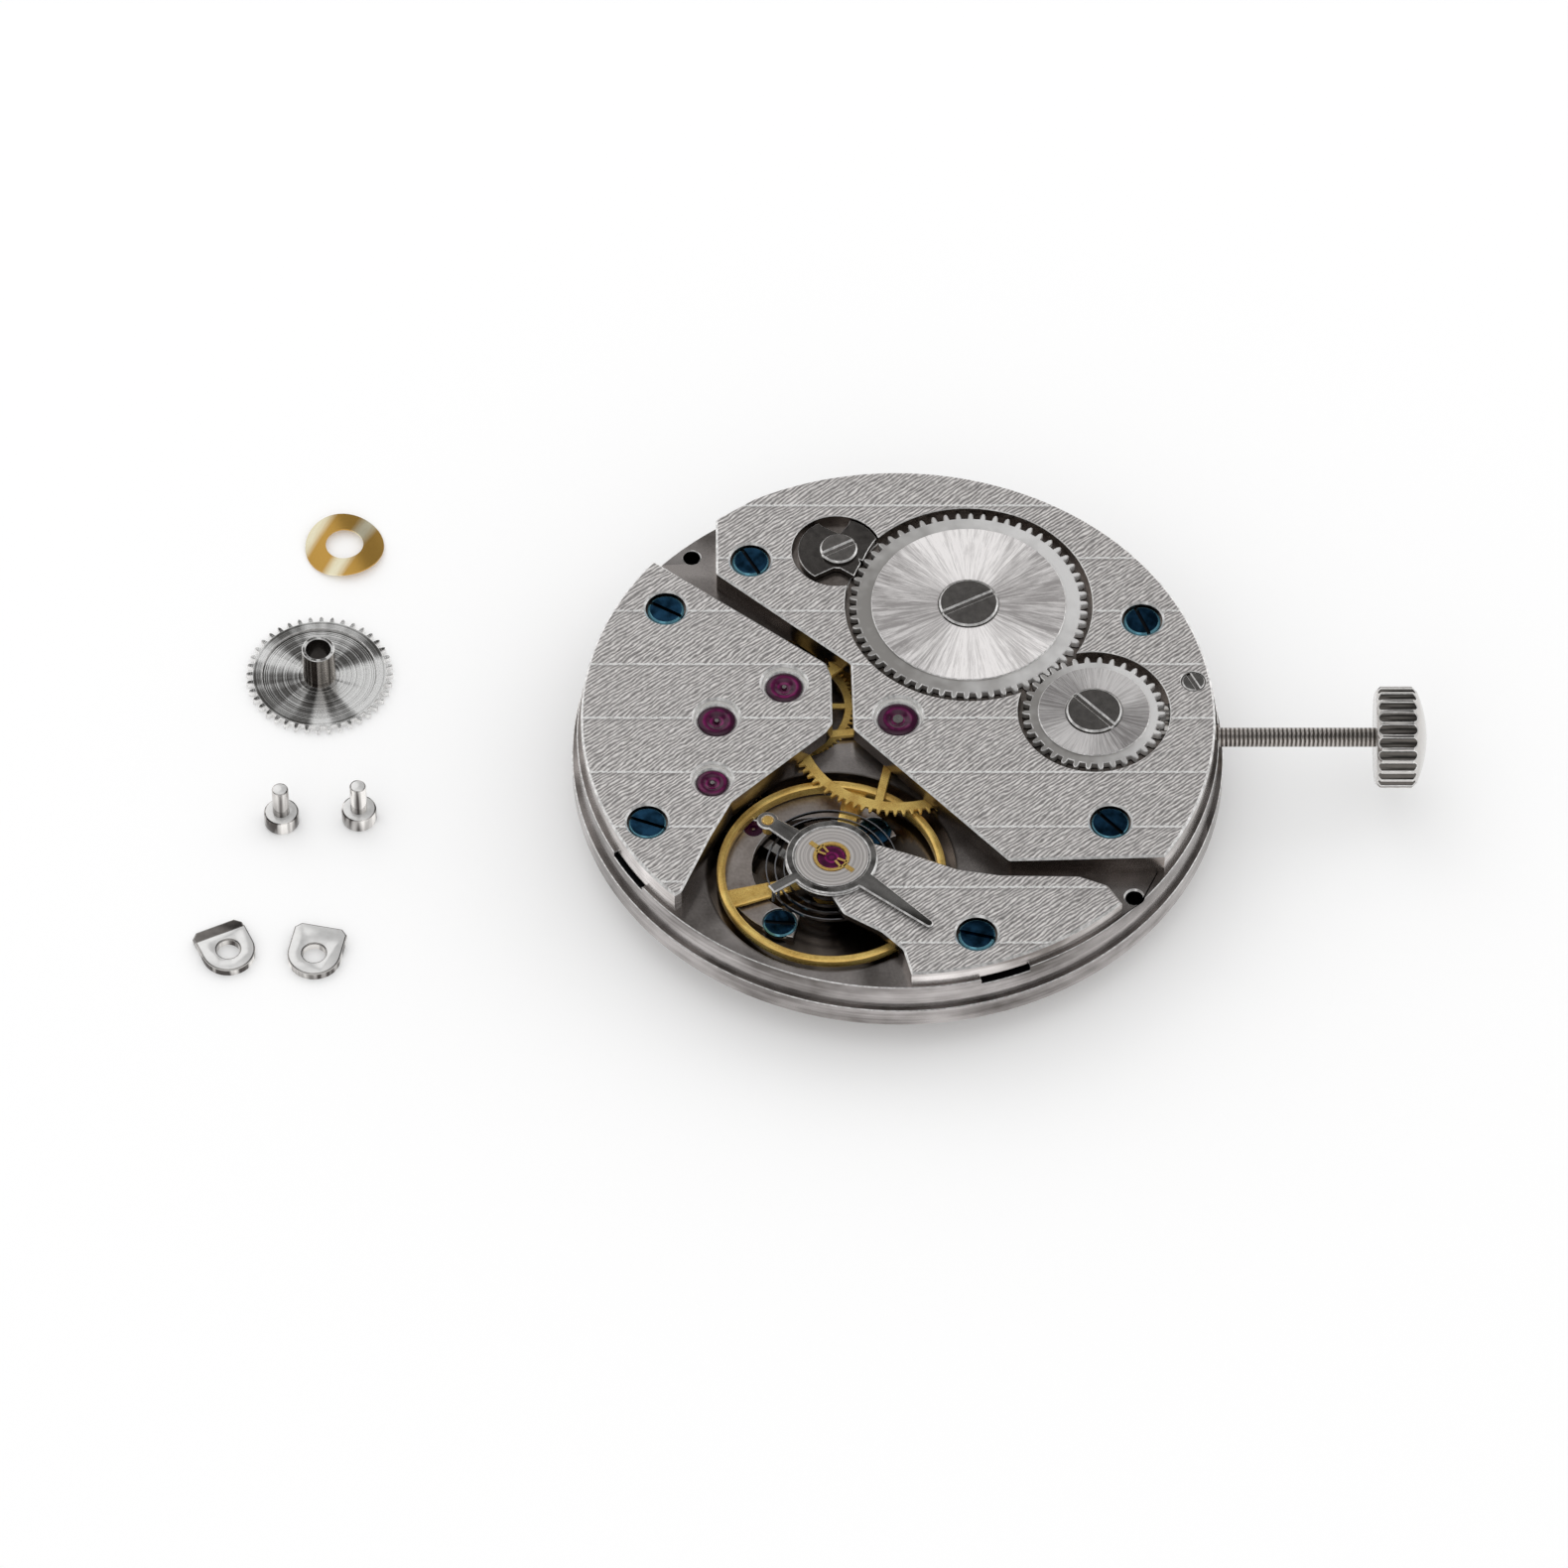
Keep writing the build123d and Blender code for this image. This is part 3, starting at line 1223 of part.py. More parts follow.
def balance_wheel():
    """Smooth gilt balance with three tapered arms."""
    rim_inner = balance_radius - balance_rim_width
    wheel = tube(balance_radius, rim_inner, balance_level, balance_level + balance_rim_height, balance)
    low = balance_arm_level
    high = low + balance_arm_thickness
    for degrees in balance_arm_degrees:
        wheel = wheel + bar(balance, math.radians(degrees), 0, rim_inner + balance_rim_width / 2, balance_arm_root,
                            balance_arm_tip, low, high)
    wheel = wheel + rod(balance_hub_radius + hub_extra, low, high, balance)
    return wheel - rod(balance_hub_radius, low - overrun, high + overrun, balance)


def balance_staff():
    """Balance staff with its two fine pivots and the collet that the hairspring is pinned to."""
    arm_high = balance_arm_level + balance_arm_thickness
    collet_low = hairspring_level - gap_small
    return stack(balance, (balance_hub_radius, roller_level + roller_thickness, arm_high),
                 (collet_radius, collet_low, collet_low + hairspring_height + 2 * gap_small),
                 (staff_radius, arm_high, cock_underside), (staff_radius, sink_floor, roller_level + roller_thickness),
                 (staff_pivot_radius, cock_underside, staff_top),
                 (staff_pivot_radius, sink_floor - lower_jewel_thickness, sink_floor))


def roller():
    """Double roller: impulse table above, safety roller below with its crescent."""
    fork_high = escape_wheel_level + fork_thickness
    body = tube(roller_radius, staff_radius, roller_level, roller_level + roller_thickness, balance)
    body = body + tube(safety_roller_radius, staff_radius, fork_high - fork_thickness * 2, roller_level, balance)
    pin = polar(balance, impulse_radius, pallet_way + math.pi)
    body = body - rod(impulse_pin_radius, roller_level - overrun, roller_level + overrun, pin)
    crescent = polar(balance, safety_roller_radius + impulse_pin_radius, pallet_way + math.pi)
    return body - rod(impulse_pin_radius * 2, fork_high - fork_thickness * 3, roller_level - gap_small, crescent)


def impulse_pin():
    """Ruby pin that works in the fork's slot."""
    fork_high = escape_wheel_level + fork_thickness
    pin = polar(balance, impulse_radius, pallet_way + math.pi)
    return rod(impulse_pin_radius, fork_high + impulse_pin_gap, roller_level + roller_thickness, pin)


def hairspring_half_turns():
    """Half turns of the hairspring from its collet to the stud."""
    return 2 * hairspring_turns


def stud_place():
    """Where the hairspring's outer end meets the stud."""
    start = collet_radius + hairspring_thickness
    return start + hairspring_pitch * hairspring_turns


def hairspring():
    """Flat spiral hairspring from the collet to the stud."""
    start = collet_radius + hairspring_thickness
    print("hairspring least gap to itself", round(hairspring_pitch - hairspring_thickness, 3))
    return spiral(balance, start, hairspring_pitch, hairspring_half_turns(), stud_degrees, hairspring_thickness,
                  hairspring_level, hairspring_level + hairspring_height)


def stud_carrier():
    """Ring round the shock setting with an arm that holds the hairspring stud."""
    high = stud_ring_low + stud_ring_thickness
    turn = math.radians(stud_degrees)
    reach = stud_distance()
    ring = rod(stud_ring_outer, stud_ring_low, high, balance)
    ring = ring + bar(balance, turn, stud_ring_outer / 2, reach, stud_arm_width * 1.5, stud_arm_width,
                      stud_ring_low, high)
    ring = ring + rod(stud_reach, stud_ring_low, high, polar(balance, reach, turn))
    ring = ring - rod(shock_disc_radius + ring_play, stud_ring_low - overrun, high + overrun, balance)
    return ring - rod(stud_radius, stud_ring_low - overrun, high + overrun, polar(balance, reach, turn))


def stud_distance():
    """Distance of the stud from the balance axis: just outside the hairspring's outer end."""
    return stud_place() + hairspring_thickness / 2 + stud_radius


def hairspring_stud():
    """Gilt stud that grips the hairspring's outer end."""
    at = polar(balance, stud_distance(), math.radians(stud_degrees))
    return rod(stud_radius, hairspring_level, stud_ring_low + stud_ring_thickness + gap_small, at)


def regulator():
    """Regulator ring with its long pointer, and the curb pins that straddle the hairspring."""
    high = regulator_low + regulator_thickness
    pointer = math.radians(regulator_pointer_degrees)
    curb = math.radians(curb_degrees)
    body = rod(regulator_ring_outer, regulator_low, high, balance)
    body = body + bar(balance, pointer, regulator_ring_outer / 2, regulator_pointer_length, regulator_pointer_root,
                      regulator_pointer_tip, regulator_low, high)
    body = body + rod(regulator_pointer_tip / 2, regulator_low, high, polar(balance, regulator_pointer_length, pointer))
    turns_left = ((stud_degrees - curb_degrees) % 360) / 360
    coil = stud_place() - hairspring_pitch * turns_left
    pin_offset = hairspring_thickness / 2 + curb_pin_radius + gap_small
    curb_length = coil + pin_offset + curb_pin_radius + gap_small
    body = body + bar(balance, curb, regulator_ring_outer / 2, curb_length, curb_width, curb_width,
                      regulator_low, high)
    body = body - rod(shock_disc_radius + ring_play, regulator_low - overrun, high + overrun, balance)
    for side in (1, -1):
        reach = coil + side * pin_offset
        pin = rod(curb_pin_radius, hairspring_level, high, polar(balance, reach, curb))
        body = body + pin
    return body


def shock_block_upper():
    """Turned bush with the satin disc that holds the upper balance jewel."""
    disc_high = cock_top + shock_disc_height
    block_body = stack(balance, (shock_disc_radius, cock_top, disc_high), (shock_hole_radius, cock_underside, cock_top))
    bowl_low = disc_high - shock_jewel_thickness - shock_spring_thickness
    block_body = block_body - rod(shock_bowl_radius, bowl_low, disc_high + overrun, balance)
    return block_body - rod(staff_radius + gap_wheel, cock_underside - overrun, bowl_low + overrun, balance)


def shock_block_lower():
    """Turned bush in the plate that holds the lower balance jewel."""
    body = rod(lower_block_radius, lower_block_low, sink_floor, balance)
    bowl_high = lower_block_low + shock_jewel_thickness + shock_spring_thickness
    body = body - rod(shock_jewel_radius, lower_block_low - overrun, bowl_high, balance)
    return body - rod(staff_radius, bowl_high - overrun, sink_floor + overrun, balance)


def shock_jewels():
    """Balance end stones, above and below."""
    disc_high = cock_top + shock_disc_height - shock_spring_thickness
    upper = rod(shock_jewel_radius, disc_high - shock_jewel_thickness, disc_high, balance)
    upper = upper - rod(staff_pivot_radius + pivot_play, disc_high - shock_jewel_thickness - overrun,
                        disc_high - shock_jewel_thickness / 2, balance)
    low = lower_block_low + shock_spring_thickness
    lower = rod(shock_jewel_radius - pivot_play, low, low + shock_jewel_thickness, balance)
    return [upper, lower]


def shock_springs():
    """Spring rings that hold the end stones in their blocks."""
    high = cock_top + shock_disc_height
    low = high - shock_spring_thickness
    springs = []
    for base in (low, lower_block_low):
        outer = shock_bowl_radius - pivot_play if base == low else shock_jewel_radius - pivot_play
        inner = outer - click_spring_width
        springs.append(tube(outer, inner, base, base + shock_spring_thickness, balance))
    return springs


def stem_square_bar(side, start, end):
    """Square bar along the stem axis."""
    half = side / 2
    return block((start, -half, stem_height - half), (end, half, stem_height + half))


def winding_stem():
    """Stem from its inner pivot to the threaded end in the crown."""
    neck_end = stem_neck_x + stem_neck_length
    hub_start = winding_pinion_x - winding_pinion_hub_length
    stem = stem_bar(stem_pivot_radius, stem_pivot_x, stem_square_x + overrun)
    stem = stem + stem_square_bar(stem_square, stem_square_x, hub_start)
    stem = stem + stem_bar(stem_shoulder_radius, hub_start, stem_neck_x)
    stem = stem + stem_bar(stem_neck_radius, stem_neck_x, neck_end)
    stem = stem + stem_bar(stem_bearing_radius, neck_end, case_radius)
    return stem + stem_bar(stem_thread_radius, case_radius, stem_end_x + crown_length / 2)


def crown():
    """Domed winding crown with broad flutes, turned about the stem axis."""
    end = stem_end_x + crown_length
    rim = end - crown_dome
    shoulder = crown_radius - crown_chamfer
    dome_radius = (shoulder ** 2 + crown_dome ** 2) / (2 * crown_dome)
    half_way = (end - dome_radius + math.sqrt(dome_radius ** 2 - (shoulder / 2) ** 2), shoulder / 2)
    outline = [
        Line((stem_end_x, 0), (stem_end_x, shoulder)),
        Line((stem_end_x, shoulder), (stem_end_x + crown_chamfer, crown_radius)),
        Line((stem_end_x + crown_chamfer, crown_radius), (rim - crown_chamfer, crown_radius)),
        Line((rim - crown_chamfer, crown_radius), (rim, shoulder)),
        ThreePointArc((rim, shoulder), half_way, (end, 0)),
        Line((end, 0), (stem_end_x, 0)),
    ]
    body = revolve(make_face(outline), Axis.X, 360)
    flute_radius = math.pi * crown_radius / crown_flutes * flute_share
    depth = crown_radius + flute_radius - crown_flute_depth
    for flute in range(crown_flutes):
        groove = Pos(stem_end_x - overrun, 0, depth) * Rot(0, 90, 0) * Cylinder(
            flute_radius, crown_length + 2 * overrun, align=(Align.CENTER, Align.CENTER, Align.MIN))
        body = body - Rot(360 * flute / crown_flutes, 0, 0) * groove
    body = Pos(0, 0, stem_height) * body
    return body - stem_bar(stem_thread_radius, stem_end_x - overrun, stem_end_x + crown_length / 2)


def upright_to_stem(piece):
    """Turns a piece modelled about +Z from the origin so that it lies along the stem axis, with +Z to +X."""
    return Pos(0, 0, stem_height) * Rot(0, 90, 0) * piece


def breguet_ring(start, end, outer, inner, phase):
    """Ring of end teeth along the stem axis."""
    ring = None
    step = 2 * math.pi / breguet_teeth
    for tooth in range(breguet_teeth):
        turn = phase + tooth * step
        half = step * breguet_share
        wedge = prism((polar(centre, inner, turn - half), polar(centre, outer, turn - half),
                       polar(centre, outer, turn), polar(centre, outer, turn + half),
                       polar(centre, inner, turn + half)), start, end)
        ring = wedge if ring is None else ring + wedge
    return upright_to_stem(ring)


def winding_pinion_phase():
    """Angle of a tooth, from the top of the stem, that stands in a gap of the crown wheel."""
    step = 2 * math.pi / crown_wheel_teeth
    contact = (winding_pinion_x + winding_pinion_tooth_length / 2, 0)
    way = toward(crown_wheel, contact)
    gap = (crown_phase + step / 2 - way) % step
    return gap * crown_wheel_pitch / winding_pitch


def winding_pinion():
    """Pinion that turns with the stem in the winding position and drives the crown wheel from below."""
    start = winding_pinion_x
    end = start + winding_pinion_tooth_length
    # Laid along the stem, an angle of zero points down, so the top of the pinion is at half a turn.
    phase = math.pi - winding_pinion_phase()
    teeth = upright_to_stem(toothed(centre, winding_teeth, winding_pitch, phase, winding_tooth_shares, start, end))
    hub_start = start - winding_pinion_hub_length
    body = teeth + stem_bar(winding_pinion_hub_radius, hub_start + breguet_depth, start)
    body = body + breguet_ring(hub_start, hub_start + breguet_depth + gap_small, winding_pinion_hub_radius,
                               stem_shoulder_radius + shaft_play, 0)
    return body - stem_bar(stem_shoulder_radius + shaft_play, hub_start - overrun, end + overrun)


def sliding_pinion():
    """Clutch on the stem's square: end teeth on both faces and a groove for the yoke."""
    hub_start = winding_pinion_x - winding_pinion_hub_length
    body_end = hub_start - gap_small
    body = stem_bar(sliding_pinion_radius, sliding_pinion_x + setting_face_depth, body_end)
    groove_end = sliding_groove_x + sliding_groove_width
    band = stem_bar(sliding_pinion_radius + overrun, sliding_groove_x, groove_end)
    body = body - (band - stem_bar(sliding_groove_radius, sliding_groove_x, groove_end))
    body = body + breguet_ring(body_end - gap_small, body_end + breguet_depth - gap_small,
                               winding_pinion_hub_radius, stem_shoulder_radius + shaft_play,
                               math.pi / breguet_teeth)
    body = body + breguet_ring(sliding_pinion_x, sliding_pinion_x + setting_face_depth + gap_small,
                               sliding_pinion_radius, stem_shoulder_radius + gap_wheel, 0)
    return body - stem_square_bar(stem_square + 2 * shaft_play, sliding_pinion_x - overrun, hub_start + overrun)


def lever_pin_place():
    """Centre of the setting lever's pin, in the stem's neck."""
    return (stem_neck_x + stem_neck_length / 2, 0)


def setting_lever():
    """Lever that follows the stem's neck with its pin."""
    low = lever_level
    high = low + lever_thickness
    pin = lever_pin_place()
    reach = math.dist(lever_pivot, pin)
    way = toward(lever_pivot, pin)
    body = bar(lever_pivot, way, 0, reach, yoke_width * 1.6, 2 * lever_pin_radius, low, high)
    body = body + rod(yoke_width * 0.8, low, high, lever_pivot) + rod(lever_pin_radius, low, high, pin)
    body = body + rod(lever_pin_radius, low, stem_height - stem_neck_radius - gap_small, pin)
    return body - rod(lever_post_radius + pivot_play, low - overrun, high + overrun, lever_pivot)


def setting_lever_screw():
    """Shouldered screw from the bridge side that the setting lever turns on."""
    seat = bridge_top - small_screw_height
    return slotted_screw(lever_pivot, seat, small_screw_head, small_screw_height, lever_post_radius,
                         seat - lever_level + gap_small, -45)


def yoke_finger_place():
    """Centre of the yoke's finger, in the sliding pinion's groove."""
    return (sliding_groove_x + sliding_groove_width / 2, 0)


def yoke():
    """Yoke that shifts the sliding pinion with its finger."""
    low = lever_level
    high = low + lever_thickness
    pivot = (yoke_pivot_x, yoke_pivot_y)
    finger = yoke_finger_place()
    way = toward(pivot, finger)
    reach = math.dist(pivot, finger)
    body = bar(pivot, way, 0, reach, yoke_width * 1.3, 2 * yoke_finger_radius, low, high)
    body = body + rod(yoke_width, low, high, pivot) + rod(yoke_finger_radius, low, high, finger)
    body = body + rod(yoke_finger_radius, low, stem_height - sliding_groove_radius - gap_small, finger)
    return body - rod(yoke_post_radius + pivot_play, low - overrun, high + overrun, pivot)


def yoke_post():
    """Post in the plate that the yoke turns on."""
    return rod(yoke_post_radius, lever_level - gap_small, keyless_floor + overrun, (yoke_pivot_x, yoke_pivot_y))


def wheel_posts():
    """Posts in the plate for minute wheel and setting wheel."""
    minute_post = rod(minute_post_radius, gap_small, dial_recess_top, minute)
    setting_top = setting_level + setting_thickness + gap_wheel
    return minute_post + rod(setting_post_radius, setting_level - gap_wheel, setting_top, setting)


def keyless_screw_places():
    """Places of the two screws of the dial-side cover."""
    first = (lever_pivot_x - yoke_width * 2, yoke_pivot_y + yoke_width / 2)
    second = (yoke_pivot_x + yoke_width * 2.2, yoke_pivot_y - yoke_width / 2)
    return (first, second)


def setting_lever_spring():
    """Dial-side cover spring over yoke and setting lever, with its long detent arm."""
    low = cover_level
    high = low + cover_plate_thickness
    first, second = keyless_screw_places()
    way = toward(second, lever_pivot)
    body = bar(second, way, -yoke_width / 2, math.dist(second, lever_pivot), yoke_width * 1.8, yoke_width,
               low, high)
    body = body + bar((yoke_pivot_x, yoke_pivot_y), 0, -yoke_width, yoke_width * 3.5, yoke_width * 1.6,
                      yoke_width * 1.6, low, high)
    for at in (first, second):
        body = body + rod(keyless_screw_head + 2 * gap_small, low, high, at)
    for at in (first, second):
        body = body - rod(small_screw_shank + gap_small, low - overrun, high + overrun, at)
        body = body - rod(keyless_screw_head + gap_small, low - overrun, low + cover_plate_thickness / 2, at)
    return body - stem_bar(tip_of(winding_pitch, winding_teeth, winding_tooth_shares) + gap_small,
                           winding_pinion_x - gap_small, winding_pinion_x + winding_pinion_tooth_length + gap_small)


def keyless_screws():
    """Two flush screws of the dial-side cover."""
    screws = []
    for at in keyless_screw_places():
        head = rod(keyless_screw_head, cover_level, cover_level + cover_plate_thickness / 2, at)
        screws.append(head + rod(small_screw_shank, cover_level, keyless_floor + overrun, at))
    return screws


def keyless_pads():
    """Raised pads in the plate under the cover's screws."""
    pads = None
    for at in keyless_screw_places():
        pad = rod(small_screw_shank + yoke_width / 2, cover_level + cover_plate_thickness, keyless_floor + overrun, at)
        pads = pad if pads is None else pads + pad
    return pads


def yoke_spring():
    """Thin return spring beside the yoke."""
    low = lever_level
    start = (yoke_pivot_x + yoke_width * 2.4, yoke_pivot_y + yoke_width)
    end = (sliding_groove_x + sliding_groove_width + 2 * yoke_width, -keyway_wide_half - gap_wheel)
    way = toward(start, end)
    body = bar(start, way, 0, math.dist(start, end), click_spring_width * 1.4, click_spring_width, low,
               low + lever_thickness)
    return body + rod(yoke_width / 2, low, keyless_floor, start)


def minute_wheel():
    """Minute wheel with its pinion leaves."""
    wheel = toothed(minute, minute_teeth, minute_pitch, minute_phase, wheel_tooth_shares,
                    minute_level, minute_level + minute_thickness)
    wheel = wheel + toothed(minute, hour_drive_leaves, minute_pitch * hour_drive_share, 0, leaf_shares,
                            gap_small, minute_level)
    return wheel - rod(minute_post_radius + pivot_play, -overrun, dial_recess_top, minute)


def setting_wheel():
    """Setting wheel between sliding pinion and minute wheel."""
    wheel = toothed(setting, setting_teeth, setting_pitch, setting_phase, wheel_tooth_shares,
                    setting_level, setting_level + setting_thickness)
    return wheel - rod(setting_post_radius + pivot_play, -overrun, seat_height, setting)


def hour_wheel():
    """Hour wheel, lying tube up on the table: dished face, forty teeth and its tube."""
    at = (hour_x, hour_y)
    high = table_level + hour_wheel_thickness
    tip_factor = 1 + 2 * max(offset for _, offset in winding_tooth_shares) / hour_teeth
    pitch_radius = hour_tip_radius / tip_factor
    wheel = toothed(at, hour_teeth, pitch_radius, 0, winding_tooth_shares, table_level, high)
    wheel = wheel - rod(hour_tip_radius * hour_dish_share, high - hour_dish_depth, high + overrun, at)
    wheel = wheel + rod(hour_tube_radius, table_level, high + hour_tube_height, at)
    return wheel - rod(hour_tube_bore, table_level - overrun, high + hour_tube_height + overrun, at)


def dial_washer():
    """Thin brass washer bent about one line so that it springs."""
    span = 2 * washer_radius + overrun
    sagitta = washer_rise
    radius = ((span / 2) ** 2 + sagitta ** 2) / (2 * sagitta)
    shell = Cylinder(radius, span) - Cylinder(radius - washer_thickness, span + overrun)
    shell = Rot(90, 0, 0) * shell
    ring = tube(washer_radius, washer_hole, -radius - overrun, radius + overrun)
    bent = ring & (Pos(0, 0, 0) * shell)
    upper = bent & block((-span, -span, 0), (span, span, radius + overrun))
    low = upper.bounding_box().min.Z
    turned = Rot(0, 0, washer_bend_degrees) * upper
    return Pos(washer_x, washer_y, table_level - low) * turned


def case_screws():
    """Two case screws standing on their heads."""
    screws = []
    for at in case_screw_places:
        head = rod(case_screw_head, table_level, table_level + case_screw_head_height, at)
        shank = rod(case_screw_shank, table_level, table_level + case_screw_head_height + case_screw_length, at)
        screws.append(head + shank)
    return screws


def case_clamp(x, y, turn, flipped):
    """D-shaped clamp that a case screw presses on the case."""
    half = clamp_width / 2
    straight = clamp_length - half
    body = rod(half, 0, clamp_thickness) + block((-half, 0, 0), (half, straight, clamp_thickness))
    body = chamfer(body.edges().filter_by(Axis.Z).sort_by(Axis.Y)[-2:], clamp_corner)
    lip = block((-clamp_width, straight - half / 2, clamp_thickness - clamp_step),
                (clamp_width, straight + overrun, clamp_thickness + overrun))
    if flipped:
        lip = block((-clamp_width, straight - half / 2, -overrun), (clamp_width, straight + overrun, clamp_step))
    body = body - lip - rod(clamp_hole, -overrun, clamp_thickness + overrun)
    return Pos(x, y, table_level) * Rot(0, 0, turn) * body


def case_clamps():
    """Two case clamps, one each way up."""
    (first_x, first_y, first_turn), (second_x, second_y, second_turn) = clamp_places
    return [case_clamp(first_x, first_y, first_turn, False), case_clamp(second_x, second_y, second_turn, True)]


def plate_with_posts():
    """Main plate with the posts and pads that belong to it."""
    plate = main_plate() + yoke_post() + wheel_posts() + keyless_pads()
    for at in keyless_screw_places():
        plate = plate - rod(small_screw_shank, -overrun, keyless_floor + overrun, at)
    return plate


def all_nodes():
    """Every node's name with the function that builds it."""
    return {
        "main_plate": plate_with_posts, "barrel_bridge": barrel_bridge, "train_bridge": train_bridge,
        "balance_cock": balance_cock, "bridge_screws": bridge_screws, "upper_jewels": upper_jewels,
        "lower_jewels": lower_jewels, "barrel_drum": barrel_drum, "barrel_cover": barrel_cover,
        "mainspring": mainspring, "barrel_arbor": barrel_arbor, "ratchet_wheel": ratchet_wheel,
        "ratchet_screw": ratchet_screw, "crown_wheel": crown_wheel_part,
        "crown_wheel_screw": crown_wheel_screw, "click": click, "click_screw": click_screw,
        "click_spring": click_spring, "centre_wheel": centre_wheel, "centre_pinion": centre_pinion,
        "cannon_pinion": cannon_pinion, "third_wheel": third_wheel, "third_pinion": third_pinion,
        "fourth_wheel": fourth_wheel, "fourth_pinion": fourth_pinion, "escape_wheel": escape_wheel,
        "escape_pinion": escape_pinion, "pallet_fork": pallet_fork, "pallet_stones": pallet_stones,
        "pallet_bridge": pallet_bridge, "pallet_bridge_screws": pallet_bridge_screws,
        "pallet_jewels": pallet_jewels, "balance_wheel": balance_wheel, "balance_staff": balance_staff,
        "roller": roller, "impulse_pin": impulse_pin, "hairspring": hairspring,
        "hairspring_stud": hairspring_stud, "stud_carrier": stud_carrier, "regulator": regulator,
        "shock_block_upper": shock_block_upper, "shock_block_lower": shock_block_lower,
        "shock_jewels": shock_jewels, "shock_springs": shock_springs, "winding_stem": winding_stem,
        "crown": crown, "winding_pinion": winding_pinion, "sliding_pinion": sliding_pinion,
        "setting_lever": setting_lever, "setting_lever_screw": setting_lever_screw, "yoke": yoke,
        "setting_lever_spring": setting_lever_spring, "keyless_screws": keyless_screws,
        "yoke_spring": yoke_spring, "minute_wheel": minute_wheel, "setting_wheel": setting_wheel,
        "hour_wheel": hour_wheel, "dial_washer": dial_washer,
        "case_screws": case_screws, "case_clamps": case_clamps,
    }


def write_parts():
    """Builds every node and writes its STEP file."""
    os.makedirs("parts", exist_ok=True)
    for name, build in all_nodes().items():
        made = build()
        pieces = made if isinstance(made, list) else [made]
        solids = [solid for piece in pieces for solid in piece.solids()]
        whole = solids[0] if len(solids) == 1 else Compound(children=solids)
        export_step(whole, os.path.join("parts", name + ".step"))


write_parts()
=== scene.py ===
import json
import math
from collections import namedtuple

import bmesh
import bpy
from mathutils import Matrix, Vector


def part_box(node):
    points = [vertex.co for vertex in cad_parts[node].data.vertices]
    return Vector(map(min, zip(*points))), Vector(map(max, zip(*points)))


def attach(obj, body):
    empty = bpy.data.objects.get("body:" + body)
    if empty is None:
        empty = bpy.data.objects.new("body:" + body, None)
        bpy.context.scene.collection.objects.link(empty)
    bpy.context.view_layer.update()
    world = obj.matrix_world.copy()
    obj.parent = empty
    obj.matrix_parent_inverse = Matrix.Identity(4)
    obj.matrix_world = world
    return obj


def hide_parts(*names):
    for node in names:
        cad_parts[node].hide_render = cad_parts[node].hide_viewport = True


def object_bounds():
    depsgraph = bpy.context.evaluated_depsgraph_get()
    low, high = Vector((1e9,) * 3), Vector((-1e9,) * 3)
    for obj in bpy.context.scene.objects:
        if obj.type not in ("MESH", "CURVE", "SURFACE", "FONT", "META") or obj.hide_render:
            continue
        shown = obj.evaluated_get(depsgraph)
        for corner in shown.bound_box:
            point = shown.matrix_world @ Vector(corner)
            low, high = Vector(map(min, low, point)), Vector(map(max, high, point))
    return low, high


bl_info = {
    "name": "Watch movement",
    "version": (1, 0, 0),
    "blender": (4, 5, 0),
    "location": "View3D > Sidebar > Movement",
    "description": "Dresses the packed watch movement with its finishes and lays it out in a small studio",
    "category": "Object",
}

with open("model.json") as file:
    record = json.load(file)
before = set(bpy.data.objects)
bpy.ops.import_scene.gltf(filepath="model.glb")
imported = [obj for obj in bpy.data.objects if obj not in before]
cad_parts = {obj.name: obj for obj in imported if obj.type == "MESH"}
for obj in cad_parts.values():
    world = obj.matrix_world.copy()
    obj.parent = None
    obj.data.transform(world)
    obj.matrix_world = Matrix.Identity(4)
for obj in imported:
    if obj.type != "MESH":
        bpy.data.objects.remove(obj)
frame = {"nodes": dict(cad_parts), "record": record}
cad_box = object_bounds()

MM = 0.001
# points nearer to each other than this become one, in millimetres
MERGE = 0.0004
# least distance from an axis that anything is divided by, in millimetres
ON_AXIS = 0.001
# least upward part of a level face's normal, and how far from a level it may lie, in millimetres
LEVEL_NORMAL = 0.999
LEVEL_GAP = 0.01

# middle of each case-screw hole's mouth in the plate, in millimetres
case_holes = [[value / MM for value in mount["pos_m"][:2]] for mount in frame["record"]["mounts"]
              if mount["name"].startswith("case_screw_hole")]
body_of = {node: body for body, nodes in frame["record"]["behaviour"]["bodies"].items() for node in nodes}

Solid = namedtuple("Solid", "middle radius low high verts")


def centre_of(node):
    """Middle of a CAD node's box, in millimetres."""
    low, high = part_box(node)
    return (low + high) * 0.5 / MM


def top_of(node):
    """Height of a CAD node's highest point, in millimetres."""
    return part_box(node)[1].z / MM


balance_centre = centre_of("balance_wheel")
ratchet_centre = centre_of("ratchet_wheel")
crown_wheel_centre = centre_of("crown_wheel")
hour_wheel_centre = centre_of("hour_wheel")
jewel_centres = [centre_of(node) for node in ("centre_pinion", "third_pinion", "fourth_pinion", "escape_pinion",
                                              "balance_staff")]
bridge_top = top_of("train_bridge")
cock_top = top_of("balance_cock")
table_height = cad_box[0][2] / MM


